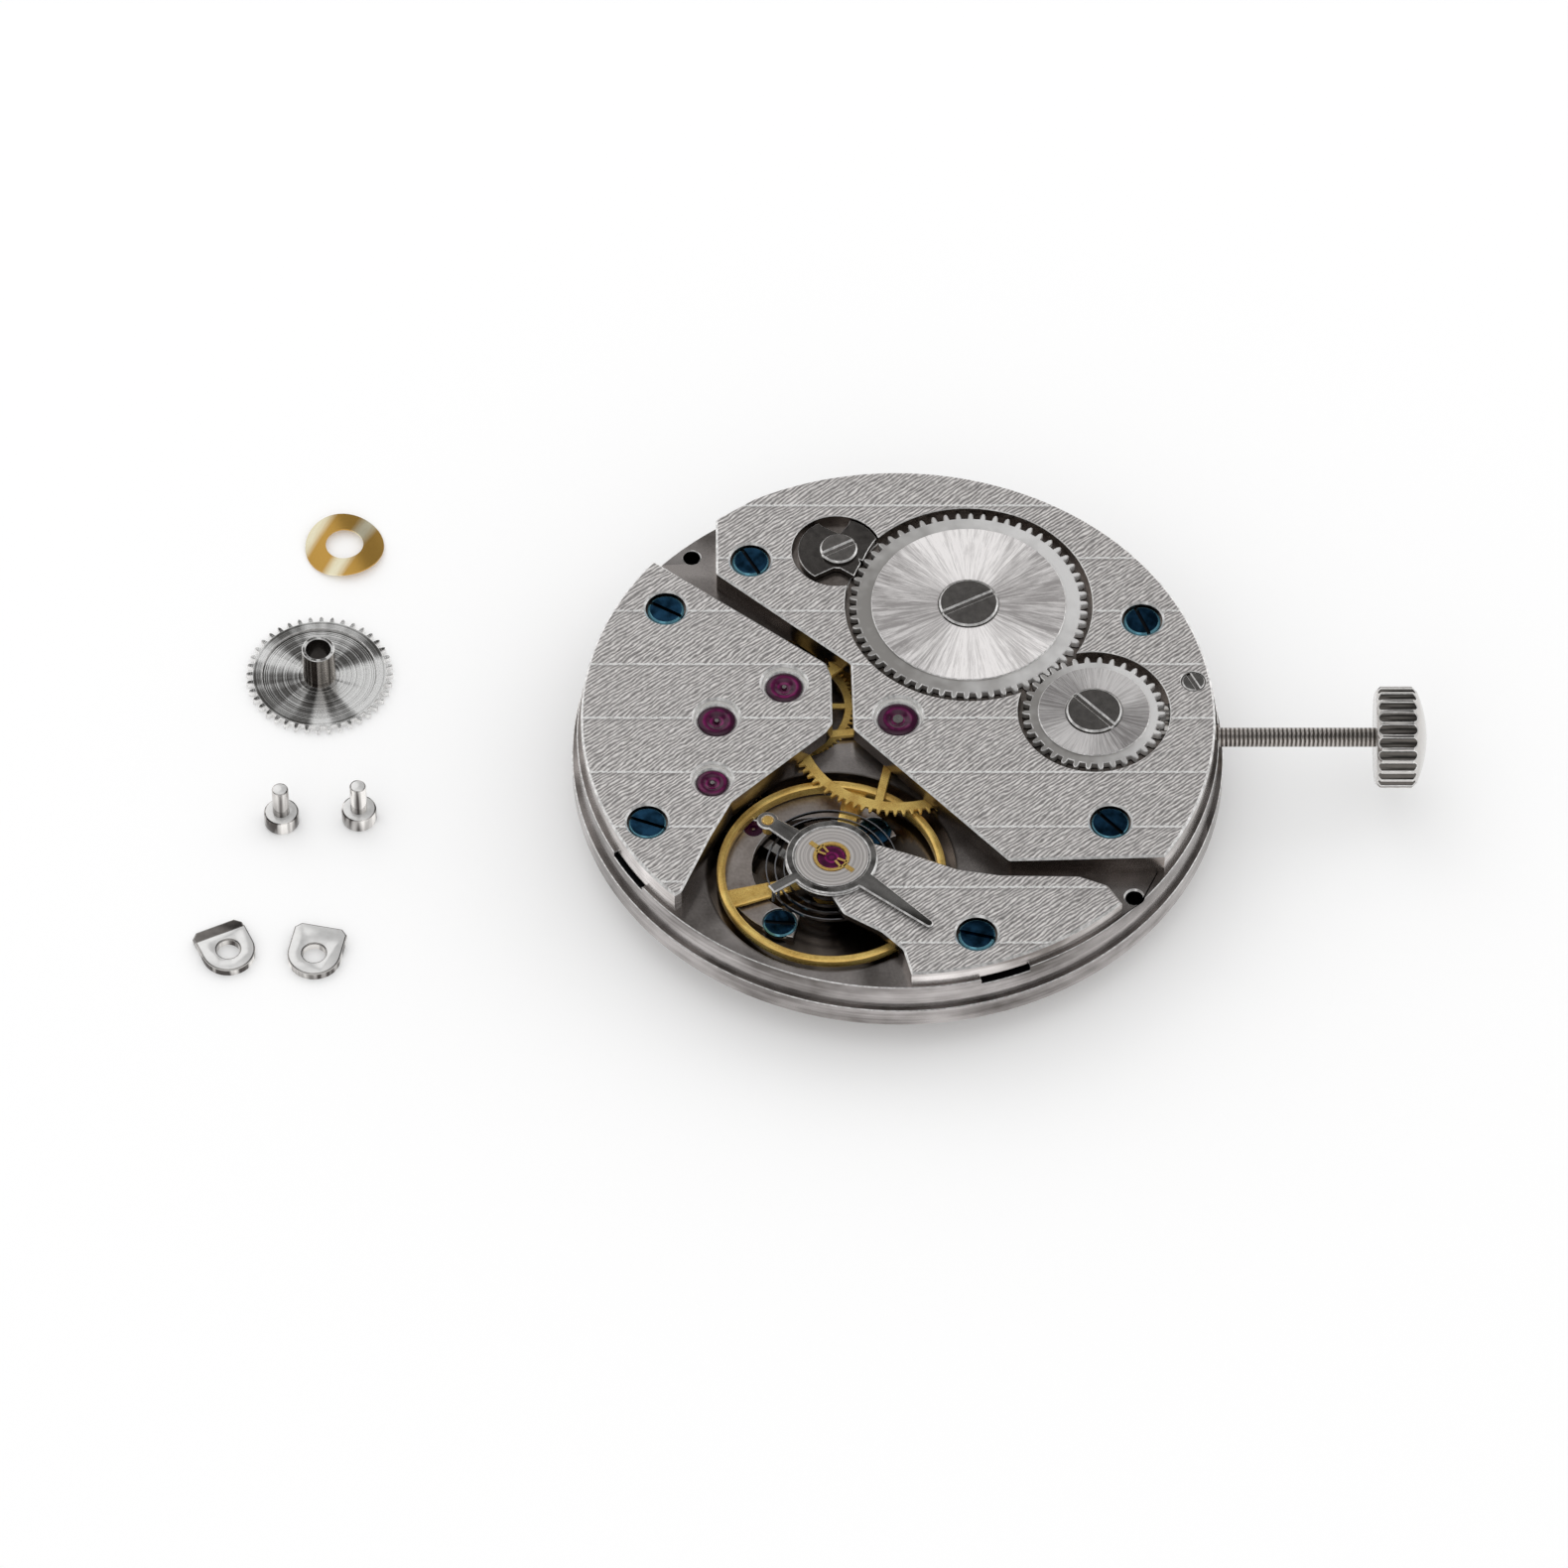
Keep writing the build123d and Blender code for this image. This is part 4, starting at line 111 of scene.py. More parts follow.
class MovementSizes(bpy.types.PropertyGroup):
    """Sizes of the finishes and of the small details, in millimetres."""

    stripe_pitch: bpy.props.FloatProperty(
        name="Stripe pitch", description="Distance from one stripe to the next, in millimetres", default=3.92)
    stripe_edge: bpy.props.FloatProperty(
        name="Stripe edge", description="Where one edge between two stripes lies across the bridges, in millimetres",
        default=-0.17)
    # the bright line between stripes is a painted highlight
    stripe_line: bpy.props.FloatProperty(
        name="Stripe line", description="Width of the bright line between stripes, in millimetres", default=0.13)
    stroke_degrees: bpy.props.FloatProperty(
        name="Stroke angle", description="Angle of the fine strokes inside a stripe, in degrees", default=43.5)
    stroke_rate: bpy.props.FloatProperty(
        name="Stroke rate", description="Strokes in a millimetre across the grain", default=4.4)
    sink_radius: bpy.props.FloatProperty(
        name="Sink radius", description="Radius of the polished sink round the balance, in millimetres", default=7.05)
    screw_bevel: bpy.props.FloatProperty(
        name="Screw bevel", description="Width of the bright bevel on screw heads, in millimetres", default=0.10)
    jewel_bevel: bpy.props.FloatProperty(
        name="Jewel rounding", description="Rounding of a jewel's rim and depth of its oil cup, in millimetres",
        default=0.14)
    lyre_radius: bpy.props.FloatProperty(
        name="Lyre radius", description="Outer radius of the spring over the upper balance jewel, in millimetres",
        default=1.02)
    lyre_width: bpy.props.FloatProperty(
        name="Lyre width", description="Width of that spring's wire, in millimetres", default=0.16)
    lyre_tab: bpy.props.FloatProperty(
        name="Lyre tab", description="How far that spring's two tabs reach out, in millimetres", default=0.55)
    lyre_thickness: bpy.props.FloatProperty(
        name="Lyre thickness", description="Thickness of that spring, in millimetres", default=0.05)
    lyre_degrees: bpy.props.FloatProperty(
        name="Lyre angle", description="Direction of that spring's first tab, in degrees", default=140.0)
    table_gap: bpy.props.FloatProperty(
        name="Table gap", description="Hair's breadth between the table and what lies on it, in millimetres",
        default=0.01)
    thread_pitch: bpy.props.FloatProperty(
        name="Thread pitch", description="Pitch of the stem's thread, in millimetres", default=0.25)


class MovementColours(bpy.types.PropertyGroup):
    """Colours of the finishes and of the table."""

    nickel: bpy.props.FloatVectorProperty(
        name="Nickel", description="Colour of the nickel-plated bridges and plate", subtype="COLOR",
        default=(0.580, 0.546, 0.536))
    steel: bpy.props.FloatVectorProperty(
        name="Steel", description="Colour of polished and brushed steel", subtype="COLOR",
        default=(0.62, 0.586, 0.578))
    gilt: bpy.props.FloatVectorProperty(
        name="Gilt", description="Colour of the gilt wheels and balance", subtype="COLOR",
        default=(0.90, 0.60, 0.19))
    blue: bpy.props.FloatVectorProperty(
        name="Blue", description="Colour of the heat-blued screws", subtype="COLOR",
        default=(0.018, 0.068, 0.135))
    ruby: bpy.props.FloatVectorProperty(
        name="Ruby", description="Colour of the jewels", subtype="COLOR", default=(0.028, 0.002, 0.016))
    floor: bpy.props.FloatVectorProperty(
        name="Floor", description="Colour of the table", subtype="COLOR", default=(0.81, 0.81, 0.81))


def sizes():
    return bpy.context.scene.movement_sizes


def colours():
    return bpy.context.scene.movement_colours


def scaled(colour, *factors):
    """A colour times one factor, or times one for each of its three parts, and no brighter than white."""
    return [min(1.0, part * factor) for part, factor in zip(colour, factors * 3)]


class Wire:
    """A socket of some nodes that takes part in arithmetic."""

    def __init__(self, nodes, socket):
        self.nodes = nodes
        self.socket = socket

    def __add__(self, other):
        return self.nodes.maths("ADD", self, other)

    def __radd__(self, other):
        return self.nodes.maths("ADD", other, self)

    def __sub__(self, other):
        return self.nodes.maths("SUBTRACT", self, other)

    def __rsub__(self, other):
        return self.nodes.maths("SUBTRACT", other, self)

    def __mul__(self, other):
        return self.nodes.maths("MULTIPLY", self, other)

    def __rmul__(self, other):
        return self.nodes.maths("MULTIPLY", other, self)

    def __truediv__(self, other):
        return self.nodes.maths("DIVIDE", self, other)

    def __rtruediv__(self, other):
        return self.nodes.maths("DIVIDE", other, self)


class Nodes:
    """The emptied node tree of a material or of the world."""

    def __init__(self, owner):
        owner.use_nodes = True
        self.tree = owner.node_tree
        self.tree.nodes.clear()

    def plug(self, socket, value):
        """Links a wire to a socket, or sets the socket's own value."""
        if isinstance(value, Wire):
            self.tree.links.new(value.socket, socket)
        elif socket.type == "RGBA":
            socket.default_value = (*value[:3], 1.0)
        else:
            socket.default_value = value

    def node(self, kind, settings=None, inputs=None, output=0):
        """Adds a node, its settings first, and returns one of its outputs as a wire."""
        made = self.tree.nodes.new("ShaderNode" + kind)
        for name, value in (settings or {}).items():
            if name == "stops":
                ramp = made.color_ramp.elements
                for place, _ in value[2:]:
                    ramp.new(place)
                for stop, (place, grey) in zip(ramp, value):
                    stop.position, stop.color = place, (grey, grey, grey, 1.0)
            else:
                setattr(made, name, value)
        for name, value in (inputs or {}).items():
            self.plug(made.inputs[name], value)
        return Wire(self, made.outputs[output])

    def maths(self, operation, *values):
        """One Math node on values or wires."""
        return self.node("Math", {"operation": operation}, dict(enumerate(values)))

    def clamped(self, value, low, high):
        """Zero below one value, one above another, and straight between them."""
        return self.node("MapRange", {"clamp": True}, {"Value": value, "From Min": low, "From Max": high})

    def ramp(self, value, stops):
        """Grey that follows a value by stops, each a place and a grey."""
        return self.node("ValToRGB", {"stops": stops}, {"Fac": value})

    def mixed(self, share, first, second):
        """Colour between two colours. A Mix node's sockets share their names, so those for colours go by number."""
        return self.node("Mix", {"data_type": "RGBA"}, {0: share, 6: first, 7: second}, output=2)

    def split(self, vector):
        """The three parts of a vector."""
        parts = self.node("SeparateXYZ", inputs={"Vector": vector}).socket.node.outputs
        return [Wire(self, part) for part in parts]

    def joined(self, x, y, z):
        """A vector from three parts."""
        return self.node("CombineXYZ", inputs={"X": x, "Y": y, "Z": z})


class Finish(Nodes):
    """A metal, stone or table finish made of shader nodes."""

    def __init__(self, name, colour, metallic=1.0, roughness=0.3, **uniform):
        self.material = bpy.data.materials.new(name)
        super().__init__(self.material)
        self.shader = self.tree.nodes.new("ShaderNodeBsdfPrincipled")
        output = self.tree.nodes.new("ShaderNodeOutputMaterial")
        self.tree.links.new(self.shader.outputs["BSDF"], output.inputs["Surface"])
        self.feed("Base Color", colour)
        self.feed("Metallic", metallic)
        self.feed("Roughness", roughness)
        for socket, value in uniform.items():
            self.feed(socket.replace("_", " "), value)

    def feed(self, name, value):
        """Gives the surface shader one of its inputs."""
        self.plug(self.shader.inputs[name], value)

    def place(self, centre=(0, 0, 0), degrees=0.0, stretch=(1, 1, 1)):
        """Position on the piece in millimetres from a centre, turned about Z and stretched."""
        turn = Matrix.Rotation(math.radians(degrees), 3, "Z")
        return self.node("Mapping", {"vector_type": "POINT"}, {
            "Vector": self.node("TexCoord", output="Object"),
            "Location": turn @ Vector([-c * s for c, s in zip(centre, stretch)]),
            "Rotation": (0, 0, math.radians(degrees)),
            "Scale": [s / MM for s in stretch]})

    def ring(self, centre):
        """Distance from an upright axis, in millimetres."""
        east, north, _ = self.split(self.place(centre))
        return self.maths("SQRT", east * east + north * north)

    def outwards(self, centre, degrees=0.0):
        """Direction from an upright axis, as its east and north parts, and the distance from it in millimetres."""
        east, north, _ = self.split(self.place(centre, degrees))
        ring = self.maths("SQRT", east * east + north * north) + ON_AXIS
        return east / ring, north / ring, ring

    def noise(self, vector, scale=1.0, detail=2.0, rough=0.5, distortion=0.0):
        """Cloudy value round one half."""
        return self.node("TexNoise", {"noise_dimensions": "3D"}, {
            "Vector": vector, "Scale": scale, "Detail": detail, "Roughness": rough, "Distortion": distortion})

    def tint(self, tone, low, high, dark, light):
        """Base colour that runs from dark to light while a tone rises from one value to another."""
        self.feed("Base Color", self.mixed(self.clamped(tone, low, high), dark, light))

    def roughen(self, value, roughness, spread):
        """Roughness that varies round a level with a value between zero and one."""
        self.feed("Roughness", value * spread + (roughness - spread * 0.5))

    def relief(self, height, depth):
        """Bumps the surface by a height between zero and one, with its depth in millimetres."""
        self.feed("Normal", self.node("Bump", inputs={"Height": height, "Strength": 1.0, "Distance": depth * MM}))


def striped_nickel(name):
    """Nickel with straight stripes of slanting strokes, a painted highlight along the line between them and a painted
    shadow beside it.
    """
    look, size = colours(), sizes()
    made = Finish(name, look.nickel, metallic=0.62)
    x, y, _ = made.split(made.place())
    row = (y - size.stripe_edge) / size.stripe_pitch
    band = made.maths("FLOOR", row)
    across = row - band
    # strokes that bow across each stripe and waver, and that another part of the noise breaks up in each stripe
    grain_x, grain_y, _ = made.split(made.place(degrees=-size.stroke_degrees))
    bow = across * across * 0.4
    waver = made.noise(made.joined(grain_x * 0.9, grain_y * 2.0, band * 7.3), rough=0.6) * 0.42
    strokes = made.maths("SINE", (grain_y + bow + waver) * (size.stroke_rate * 2 * math.pi)) * 0.5 + 0.5
    patches = made.noise(made.joined(grain_x * 2.0, grain_y * 5.5, band * 5.1), detail=3.0, rough=0.65)
    fine = made.noise(made.joined(grain_x * 3.0, grain_y * 17.0, band * 3.1), rough=0.6)
    crisp = made.clamped(strokes, 0.10, 0.85) * (made.clamped(patches, 0.25, 0.60) * 0.6 + 0.4)
    tone = crisp * 0.56 + made.clamped(patches, 0.30, 0.70) * 0.14 + fine * 0.30
    grey = made.mixed(made.clamped(tone, 0.12, 0.84), scaled(look.nickel, 0.34), scaled(look.nickel, 1.76))
    # the painted highlight along the line between two stripes, broken here and there, with a painted shadow along one
    # side
    from_middle = made.maths("ABSOLUTE", across - 0.5)
    share = size.stripe_line / size.stripe_pitch
    line = made.clamped(from_middle, 0.5 - share * 0.75, 0.5 - share * 0.35)
    spots = made.noise(made.joined(x * 4.0, band * 5.0, y * 2.0), detail=3.0, rough=0.7)
    painted_highlight_line = line * made.clamped(spots, 0.36, 0.56)
    shadow = made.clamped(across, 1 - share * 2.4, 1 - share) * (1.0 - line)
    made.feed("Base Color", made.mixed(painted_highlight_line, made.mixed(shadow * 0.45, grey, scaled(look.nickel, 0.40)),
                                       (1.0, 1.0, 0.99)))
    made.roughen(fine, 0.44, 0.16)
    made.relief(strokes * 0.5 + fine * 0.3 + patches * 0.2 + painted_highlight_line * 0.6, 0.014)
    return made.material


def grained_nickel(name, roughness, share):
    """Nickel with a fine grain and a faint warm painted reflection, for sides and hidden faces, darkened by a share
    below one.
    """
    nickel = scaled(colours().nickel, share)
    made = Finish(name, nickel)
    grain = made.noise(made.place(), scale=5.0, detail=3.0, rough=0.6)
    cloud = made.noise(made.place(stretch=(0.5, 0.5, 1.6)))
    made.tint(grain * 0.4 + cloud * 0.6, 0.30, 0.70, scaled(nickel, 0.56, 0.50, 0.45), scaled(nickel, 1.25, 1.20, 1.15))
    made.roughen(grain, roughness, 0.06)
    return made.material


def plate_nickel(name):
    """Main plate: satin outside, polished inside the sink round the balance, with painted shade and a warm painted
    reflection there.
    """
    look, sink_radius, sink_edge = colours(), sizes().sink_radius, 0.15
    made = Finish(name, look.nickel)
    inside = 1.0 - made.clamped(made.ring(balance_centre), sink_radius, sink_radius + sink_edge)
    grain = made.noise(made.place(), scale=6.0, detail=3.0, rough=0.6)
    cloud = made.noise(made.place(stretch=(0.28, 0.28, 1.0)), distortion=0.6)
    satin = made.mixed(made.clamped(cloud * 0.85 + grain * 0.15, 0.34, 0.66), scaled(look.nickel, 0.30, 0.285, 0.27),
                       scaled(look.nickel, 1.02, 1.00, 0.98))
    # painted shade and a warm painted reflection inside the sink
    sink = made.mixed(made.clamped(cloud, 0.38, 0.68), (0.05, 0.039, 0.031), (0.32, 0.27, 0.23))
    made.feed("Base Color", made.mixed(inside, satin, sink))
    made.feed("Roughness", 0.24 - inside * 0.08 + grain * 0.04)
    return made.material


def bright_edge(name):
    """Polished bevel that catches the lamps' light, paler than the nickel as a painted highlight."""
    colour, spread = (0.80, 0.79, 0.78), 0.25
    made = Finish(name, colour, metallic=0.8, roughness=0.30)
    grain = made.noise(made.place(), scale=4.0)
    made.tint(grain, 0.35, 0.65, scaled(colour, 1 - spread), scaled(colour, 1 + spread))
    return made.material


def sunray_steel(name, centre, painted_highlight_degrees, share=1.0):
    """Steel brushed outwards from a centre, with painted highlight sectors lightest along a direction given in degrees.
    """
    look = colours()
    made = Finish(name, look.steel, metallic=0.36)
    east, north, ring = made.outwards(centre, -painted_highlight_degrees)
    rays = made.noise(made.joined(east * 20.0, north * 20.0, ring * 0.35), detail=5.0, rough=0.78, distortion=0.3)
    fine = made.noise(made.joined(east * 80.0, north * 80.0, ring * 0.9), rough=0.6)
    painted_sheen_cloud = made.noise(made.joined(east * 2.2, north * 2.2, ring * 0.15))
    # painted highlight: lighter along that direction through the centre, darker across it, broken up by a cloud
    painted_sheen_sector = made.clamped(east * east + (painted_sheen_cloud - 0.5) * 1.3, 0.15, 0.95)
    tone = made.clamped(rays, 0.40, 0.60) * 0.40 + fine * 0.24 + painted_sheen_sector * 0.48
    made.tint(tone, 0.20, 0.86, scaled(look.steel, 0.55 * share), scaled((1.0, 0.97, 0.96), share))
    made.roughen(fine, 0.38, 0.16)
    made.relief(rays * 0.7 + fine * 0.3, 0.012)
    return made.material


def ringed_steel(name, centre, rate, dark, light, roughness, depth):
    """Steel turned on a lathe: fine rings round a centre, a number of them in each millimetre."""
    made = Finish(name, light)
    ring = made.ring(centre)
    lathe = made.noise(made.joined(ring * rate, 0.0, 0.0), detail=3.0, rough=0.8)
    lines = made.maths("SINE", (ring + lathe * 0.6) * rate * 2.2) * 0.5 + 0.5
    made.tint(lathe * 0.7 + lines * 0.3, 0.38, 0.62, dark, light)
    made.roughen(lathe, roughness, 0.14)
    made.relief(lathe * 0.6 + lines * 0.4, depth)
    return made.material


def toothed_steel(name, centre):
    """Toothed rim of a winding wheel with painted light: lighter towards one side, darker towards the other."""
    painted_light_degrees = 20.0
    made = Finish(name, colours().steel, metallic=0.6, roughness=0.28)
    east, _, _ = made.outwards(centre, -painted_light_degrees)
    cloud = made.noise(made.place(), scale=0.8)
    made.tint(east + (cloud - 0.5) * 1.6, -0.9, 0.9, (0.36, 0.345, 0.33), (1.0, 0.99, 0.98))
    return made.material


def glinting(name, centre, dark, light, waves, roughness=0.16, metallic=0.9):
    """Polished round piece with painted glints: lighter in some directions from its centre, darker in others."""
    made = Finish(name, light, metallic=metallic, roughness=roughness)
    east, north, ring = made.outwards(centre)
    glint = made.noise(made.joined(east * waves, north * waves, ring * 0.25), detail=3.0, rough=0.6)
    made.tint(glint, 0.40, 0.62, dark, light)
    return made.material


def turned_face(name, centre):
    """Face turned on a lathe, with fine rings and painted sheen that is lighter in some directions and darker in
    others.
    """
    made = Finish(name, colours().steel, metallic=0.8, roughness=0.26)
    east, north, ring = made.outwards(centre)
    lathe = made.noise(made.joined(ring * 9.0, 0.0, 0.0), detail=4.0, rough=0.85)
    painted_sheen_sector = made.noise(made.joined(east * 1.7, north * 1.7, ring * 0.06), rough=0.55)
    tone = made.clamped(lathe, 0.40, 0.60) * 0.54 + made.clamped(painted_sheen_sector, 0.40, 0.60) * 0.46
    made.tint(tone, 0.26, 0.74, (0.07, 0.067, 0.063), (1.0, 1.0, 0.99))
    made.relief(lathe, 0.006)
    return made.material


def walled_nickel(name, share):
    """Turned outer walls of plate and bridges: level lines one above another, with painted reflections in large light
    and dark patches.
    """
    nickel = colours().nickel
    made = Finish(name, nickel, metallic=0.75)
    x, y, z = made.split(made.place())
    lines = made.noise(made.joined(x * 0.05, y * 0.05, z * 3.0), detail=3.0, rough=0.65)
    painted_sheen_cloud = made.noise(made.joined(x * 0.20, y * 0.20, z * 0.35), detail=3.0, rough=0.6)
    # the share makes a copy darker or lighter, as painted shade or painted light
    made.tint(lines * 0.4 + painted_sheen_cloud * 0.6, 0.38, 0.62, scaled(nickel, share * 0.28, share * 0.265, share * 0.25),
              scaled(nickel, share * 1.20))
    made.roughen(lines, 0.23, 0.10)
    return made.material


def polished(name, colour, roughness, spread=0.10, metallic=1.0):
    """Polished metal with a trace of handling."""
    made = Finish(name, colour, metallic=metallic)
    smear = made.noise(made.place(), scale=2.4, detail=3.0, rough=0.6)
    made.feed("Base Color", made.mixed(smear, scaled(colour, 1 - spread), scaled(colour, 1 + spread)))
    made.roughen(smear, roughness, 0.10)
    return made.material


def upright_polish(name):
    """Polished turned sides with painted reflections: dark and light upright streaks."""
    dark, light = (0.09, 0.08, 0.075), (1.0, 0.97, 0.94)
    made = Finish(name, light, metallic=0.9, roughness=0.15)
    x, y, z = made.split(made.place())
    made.tint(made.noise(made.joined(x * 1.5, y * 1.5, z * 0.15)), 0.40, 0.60, dark, light)
    return made.material


def gilt(name, roughness=0.30, depth=0.006, spread=0.5):
    """Gilt brass, frosted by a fine grain or polished."""
    look = colours()
    made = Finish(name, look.gilt, metallic=0.72)
    grain = made.noise(made.place(), scale=14.0, detail=3.0, rough=0.7)
    cloud = made.noise(made.place(), scale=0.9)
    made.tint(grain * 0.55 + cloud * 0.45, 0.34, 0.62,
              scaled(look.gilt, 1 - spread * 0.8, 1 - spread, 1 - spread * 1.35), scaled(look.gilt, 1 + spread * 0.45))
    made.roughen(grain, roughness, 0.10)
    made.relief(grain, depth)
    return made.material


def rolled_brass(name):
    """Thin rolled brass sheet with soft painted stripes of light across its bend."""
    bend_degrees = 28.0
    made = Finish(name, colours().gilt, metallic=0.8, roughness=0.24)
    x, y, _ = made.split(made.place(centre_of("dial_washer"), bend_degrees))
    painted_light_bands = made.maths("SINE", x * 2.5 + 0.5) * 0.5 + 0.5
    fine = made.noise(made.joined(x * 10.0, y * 0.8, 0.0), rough=0.6)
    made.tint(painted_light_bands * 0.8 + fine * 0.2, 0.45, 0.90, (0.64, 0.37, 0.08), (1.0, 0.93, 0.68))
    return made.material


def blued_steel(name):
    """Heat-blued polished steel."""
    look = colours()
    made = Finish(name, look.blue)
    cloud = made.noise(made.place(), scale=1.4, rough=0.6)
    made.tint(cloud, 0.35, 0.65, scaled(look.blue, 0.45), scaled(look.blue, 1.5))
    made.roughen(cloud, 0.18, 0.12)
    return made.material


def ruby(name):
    """Deep synthetic ruby with painted reflections: lighter rings and a light spot round each bearing's centre."""
    look = colours()
    made = Finish(name, look.ruby, metallic=0.0, roughness=0.10, IOR=1.5)
    near, *others = [made.ring(centre) for centre in jewel_centres]
    for ring in others:
        near = made.maths("MINIMUM", near, ring)
    pale = made.ramp(near, ((0.0, 1.0), (0.12, 0.5), (0.22, 0.05), (0.34, 0.85), (0.44, 0.10), (0.62, 0.16),
                            (0.74, 0.60), (0.86, 0.05), (1.0, 0.0)))
    cloud = made.clamped(made.noise(made.place(), scale=2.0), 0.3, 0.7)
    made.feed("Base Color", made.mixed(cloud * pale, look.ruby, (0.26, 0.010, 0.13)))
    return made.material


def threaded(name):
    """Steel with the fine rings of a thread along the stem, darker in the grooves as painted shade."""
    dark, light, depth = (0.07, 0.06, 0.05), (0.62, 0.58, 0.55), 0.05
    made = Finish(name, light, roughness=0.24)
    x, _, _ = made.split(made.place())
    ridge = made.maths("SINE", x * (2 * math.pi / sizes().thread_pitch)) * 0.5 + 0.5
    made.feed("Base Color", made.mixed(ridge, dark, light))
    made.relief(ridge, depth)
    return made.material


# each finish: the function that makes it and the values that it takes
recipes = {
    "striped_nickel": (striped_nickel, {}),
    "plate_nickel": (plate_nickel, {}),
    # plain_nickel is darkened as painted shade on sides and hidden faces, rim_nickel is a darker copy as painted shade
    # and painted reflection of the shaded table, wall_nickel a lighter copy as painted light
    "plain_nickel": (grained_nickel, dict(roughness=0.24, share=0.60)),
    "satin_nickel": (grained_nickel, dict(roughness=0.34, share=0.90)),
    "rim_nickel": (walled_nickel, dict(share=0.78)),
    "wall_nickel": (walled_nickel, dict(share=1.45)),
    "bright_edge": (bright_edge, {}),
    "upright_polish": (upright_polish, {}),
    "ratchet_sunray": (sunray_steel, dict(centre=ratchet_centre, painted_highlight_degrees=97.0)),
    "crown_wheel_sunray": (sunray_steel, dict(centre=crown_wheel_centre, painted_highlight_degrees=62.0, share=0.64)),
    "ratchet_teeth": (toothed_steel, dict(centre=ratchet_centre)),
    "crown_wheel_teeth": (toothed_steel, dict(centre=crown_wheel_centre)),
    "hour_wheel_rings": (turned_face, dict(centre=hour_wheel_centre)),
    "shock_disc_rings": (ringed_steel, dict(centre=balance_centre, rate=12.0, dark=(0.62, 0.58, 0.56),
                                            light=(0.95, 0.91, 0.88), roughness=0.40, depth=0.002)),
    # painted glints on the regulator, the balance rim's top and the hour wheel's tube
    "regulator_polish": (glinting, dict(centre=balance_centre, dark=(0.05, 0.047, 0.044), light=(0.30, 0.29, 0.28),
                                        waves=1.9, roughness=0.18, metallic=0.85)),
    "rim_gilt": (glinting, dict(centre=balance_centre, dark=(1.0, 0.72, 0.28), light=(1.0, 0.95, 0.70), waves=1.8,
                                roughness=0.22, metallic=0.45)),
    "tube_polish": (glinting, dict(centre=hour_wheel_centre, dark=(0.07, 0.056, 0.045), light=(0.80, 0.74, 0.68),
                                   waves=2.6)),
    # sink_polish is pale as a painted highlight on the polished jewel sinks
    "sink_polish": (polished, dict(colour=(0.86, 0.85, 0.83), roughness=0.22, spread=0.16, metallic=0.55)),
    "bright_steel": (polished, dict(colour=(0.90, 0.89, 0.88), roughness=0.20, spread=0.12, metallic=0.55)),
    "black_polish": (polished, dict(colour=(0.36, 0.34, 0.325), roughness=0.17, spread=0.30)),
    "click_polish": (polished, dict(colour=(0.20, 0.185, 0.175), roughness=0.15, spread=0.40)),
    "screw_polish": (polished, dict(colour=(0.46, 0.445, 0.43), roughness=0.16, spread=0.35)),
    "flute_shadow": (polished, dict(colour=(0.13, 0.12, 0.11), roughness=0.18, spread=0.30)),
    "slot_shadow": (polished, dict(colour=(0.02, 0.02, 0.022), roughness=0.40)),
    "mirror_steel": (polished, dict(colour=(0.62, 0.60, 0.58), roughness=0.13)),
    "spring_steel": (polished, dict(colour=(0.34, 0.34, 0.36), roughness=0.22)),
    # blued_edge is a lighter blue than the blued steel: a painted highlight on the heads' bevels
    "blued_edge": (polished, dict(colour=(0.20, 0.50, 0.64), roughness=0.22, spread=0.15, metallic=0.8)),
    "blued_steel": (blued_steel, {}),
    "gilt": (gilt, {}),
    # a darker copy of the gilt for the balance rim's sides, as painted shade
    "deep_gilt": (gilt, dict(roughness=0.16, depth=0.0005, spread=0.62)),
    "gilt_polish": (gilt, dict(roughness=0.15, depth=0.0005, spread=0.35)),
    "brass": (rolled_brass, {}),
    "ruby": (ruby, {}),
    "stem_thread": (threaded, {}),
}
palette = {}


def paint(name):
    """A finish by name, made the first time it is asked for."""
    if name not in palette:
        maker, values = recipes[name]
        palette[name] = maker(name, **values)
    return palette[name]


def merged_copy(node):
    """A CAD node's mesh as a closed bmesh in millimetres, with its flat faces whole."""
    flat_degrees = 0.4
    bm = bmesh.new()
    bm.from_mesh(frame["nodes"][node].data)
    bmesh.ops.scale(bm, vec=(1 / MM,) * 3, verts=bm.verts)
    bmesh.ops.remove_doubles(bm, verts=bm.verts, dist=MERGE)
    bmesh.ops.dissolve_degenerate(bm, dist=MERGE / 2, edges=bm.edges)
    bmesh.ops.dissolve_limit(bm, angle_limit=math.radians(flat_degrees), use_dissolve_boundaries=False,
                             verts=bm.verts, edges=bm.edges, delimit={"NORMAL"})
    return bm


def finish_piece(bm, name, body, finishes, smooth=32.0, replaces=None):
    """Turns a bmesh in millimetres into a piece with its finishes that rides on a body.

    Edges stay sharp where their faces meet at more than the smooth angle in degrees."""
    bmesh.ops.scale(bm, vec=(MM,) * 3, verts=bm.verts)
    mesh = bpy.data.meshes.new(name)
    bm.normal_update()
    for edge in bm.edges:
        edge.smooth = len(edge.link_faces) == 2 and edge.calc_face_angle(0.0) < math.radians(smooth)
    for face in bm.faces:
        face.smooth = True
    bm.to_mesh(mesh)
    bm.free()
    for finish in finishes:
        mesh.materials.append(paint(finish))
    made = bpy.data.objects.new(name, mesh)
    bpy.context.scene.collection.objects.link(made)
    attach(made, body)
    if replaces:
        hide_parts(replaces)


def is_top(face, height=None):
    """Whether a face looks straight up, at a height in millimetres if one is given."""
    level = face.normal.z > LEVEL_NORMAL
    return level and (height is None or abs(face.calc_center_median().z - height) < LEVEL_GAP)


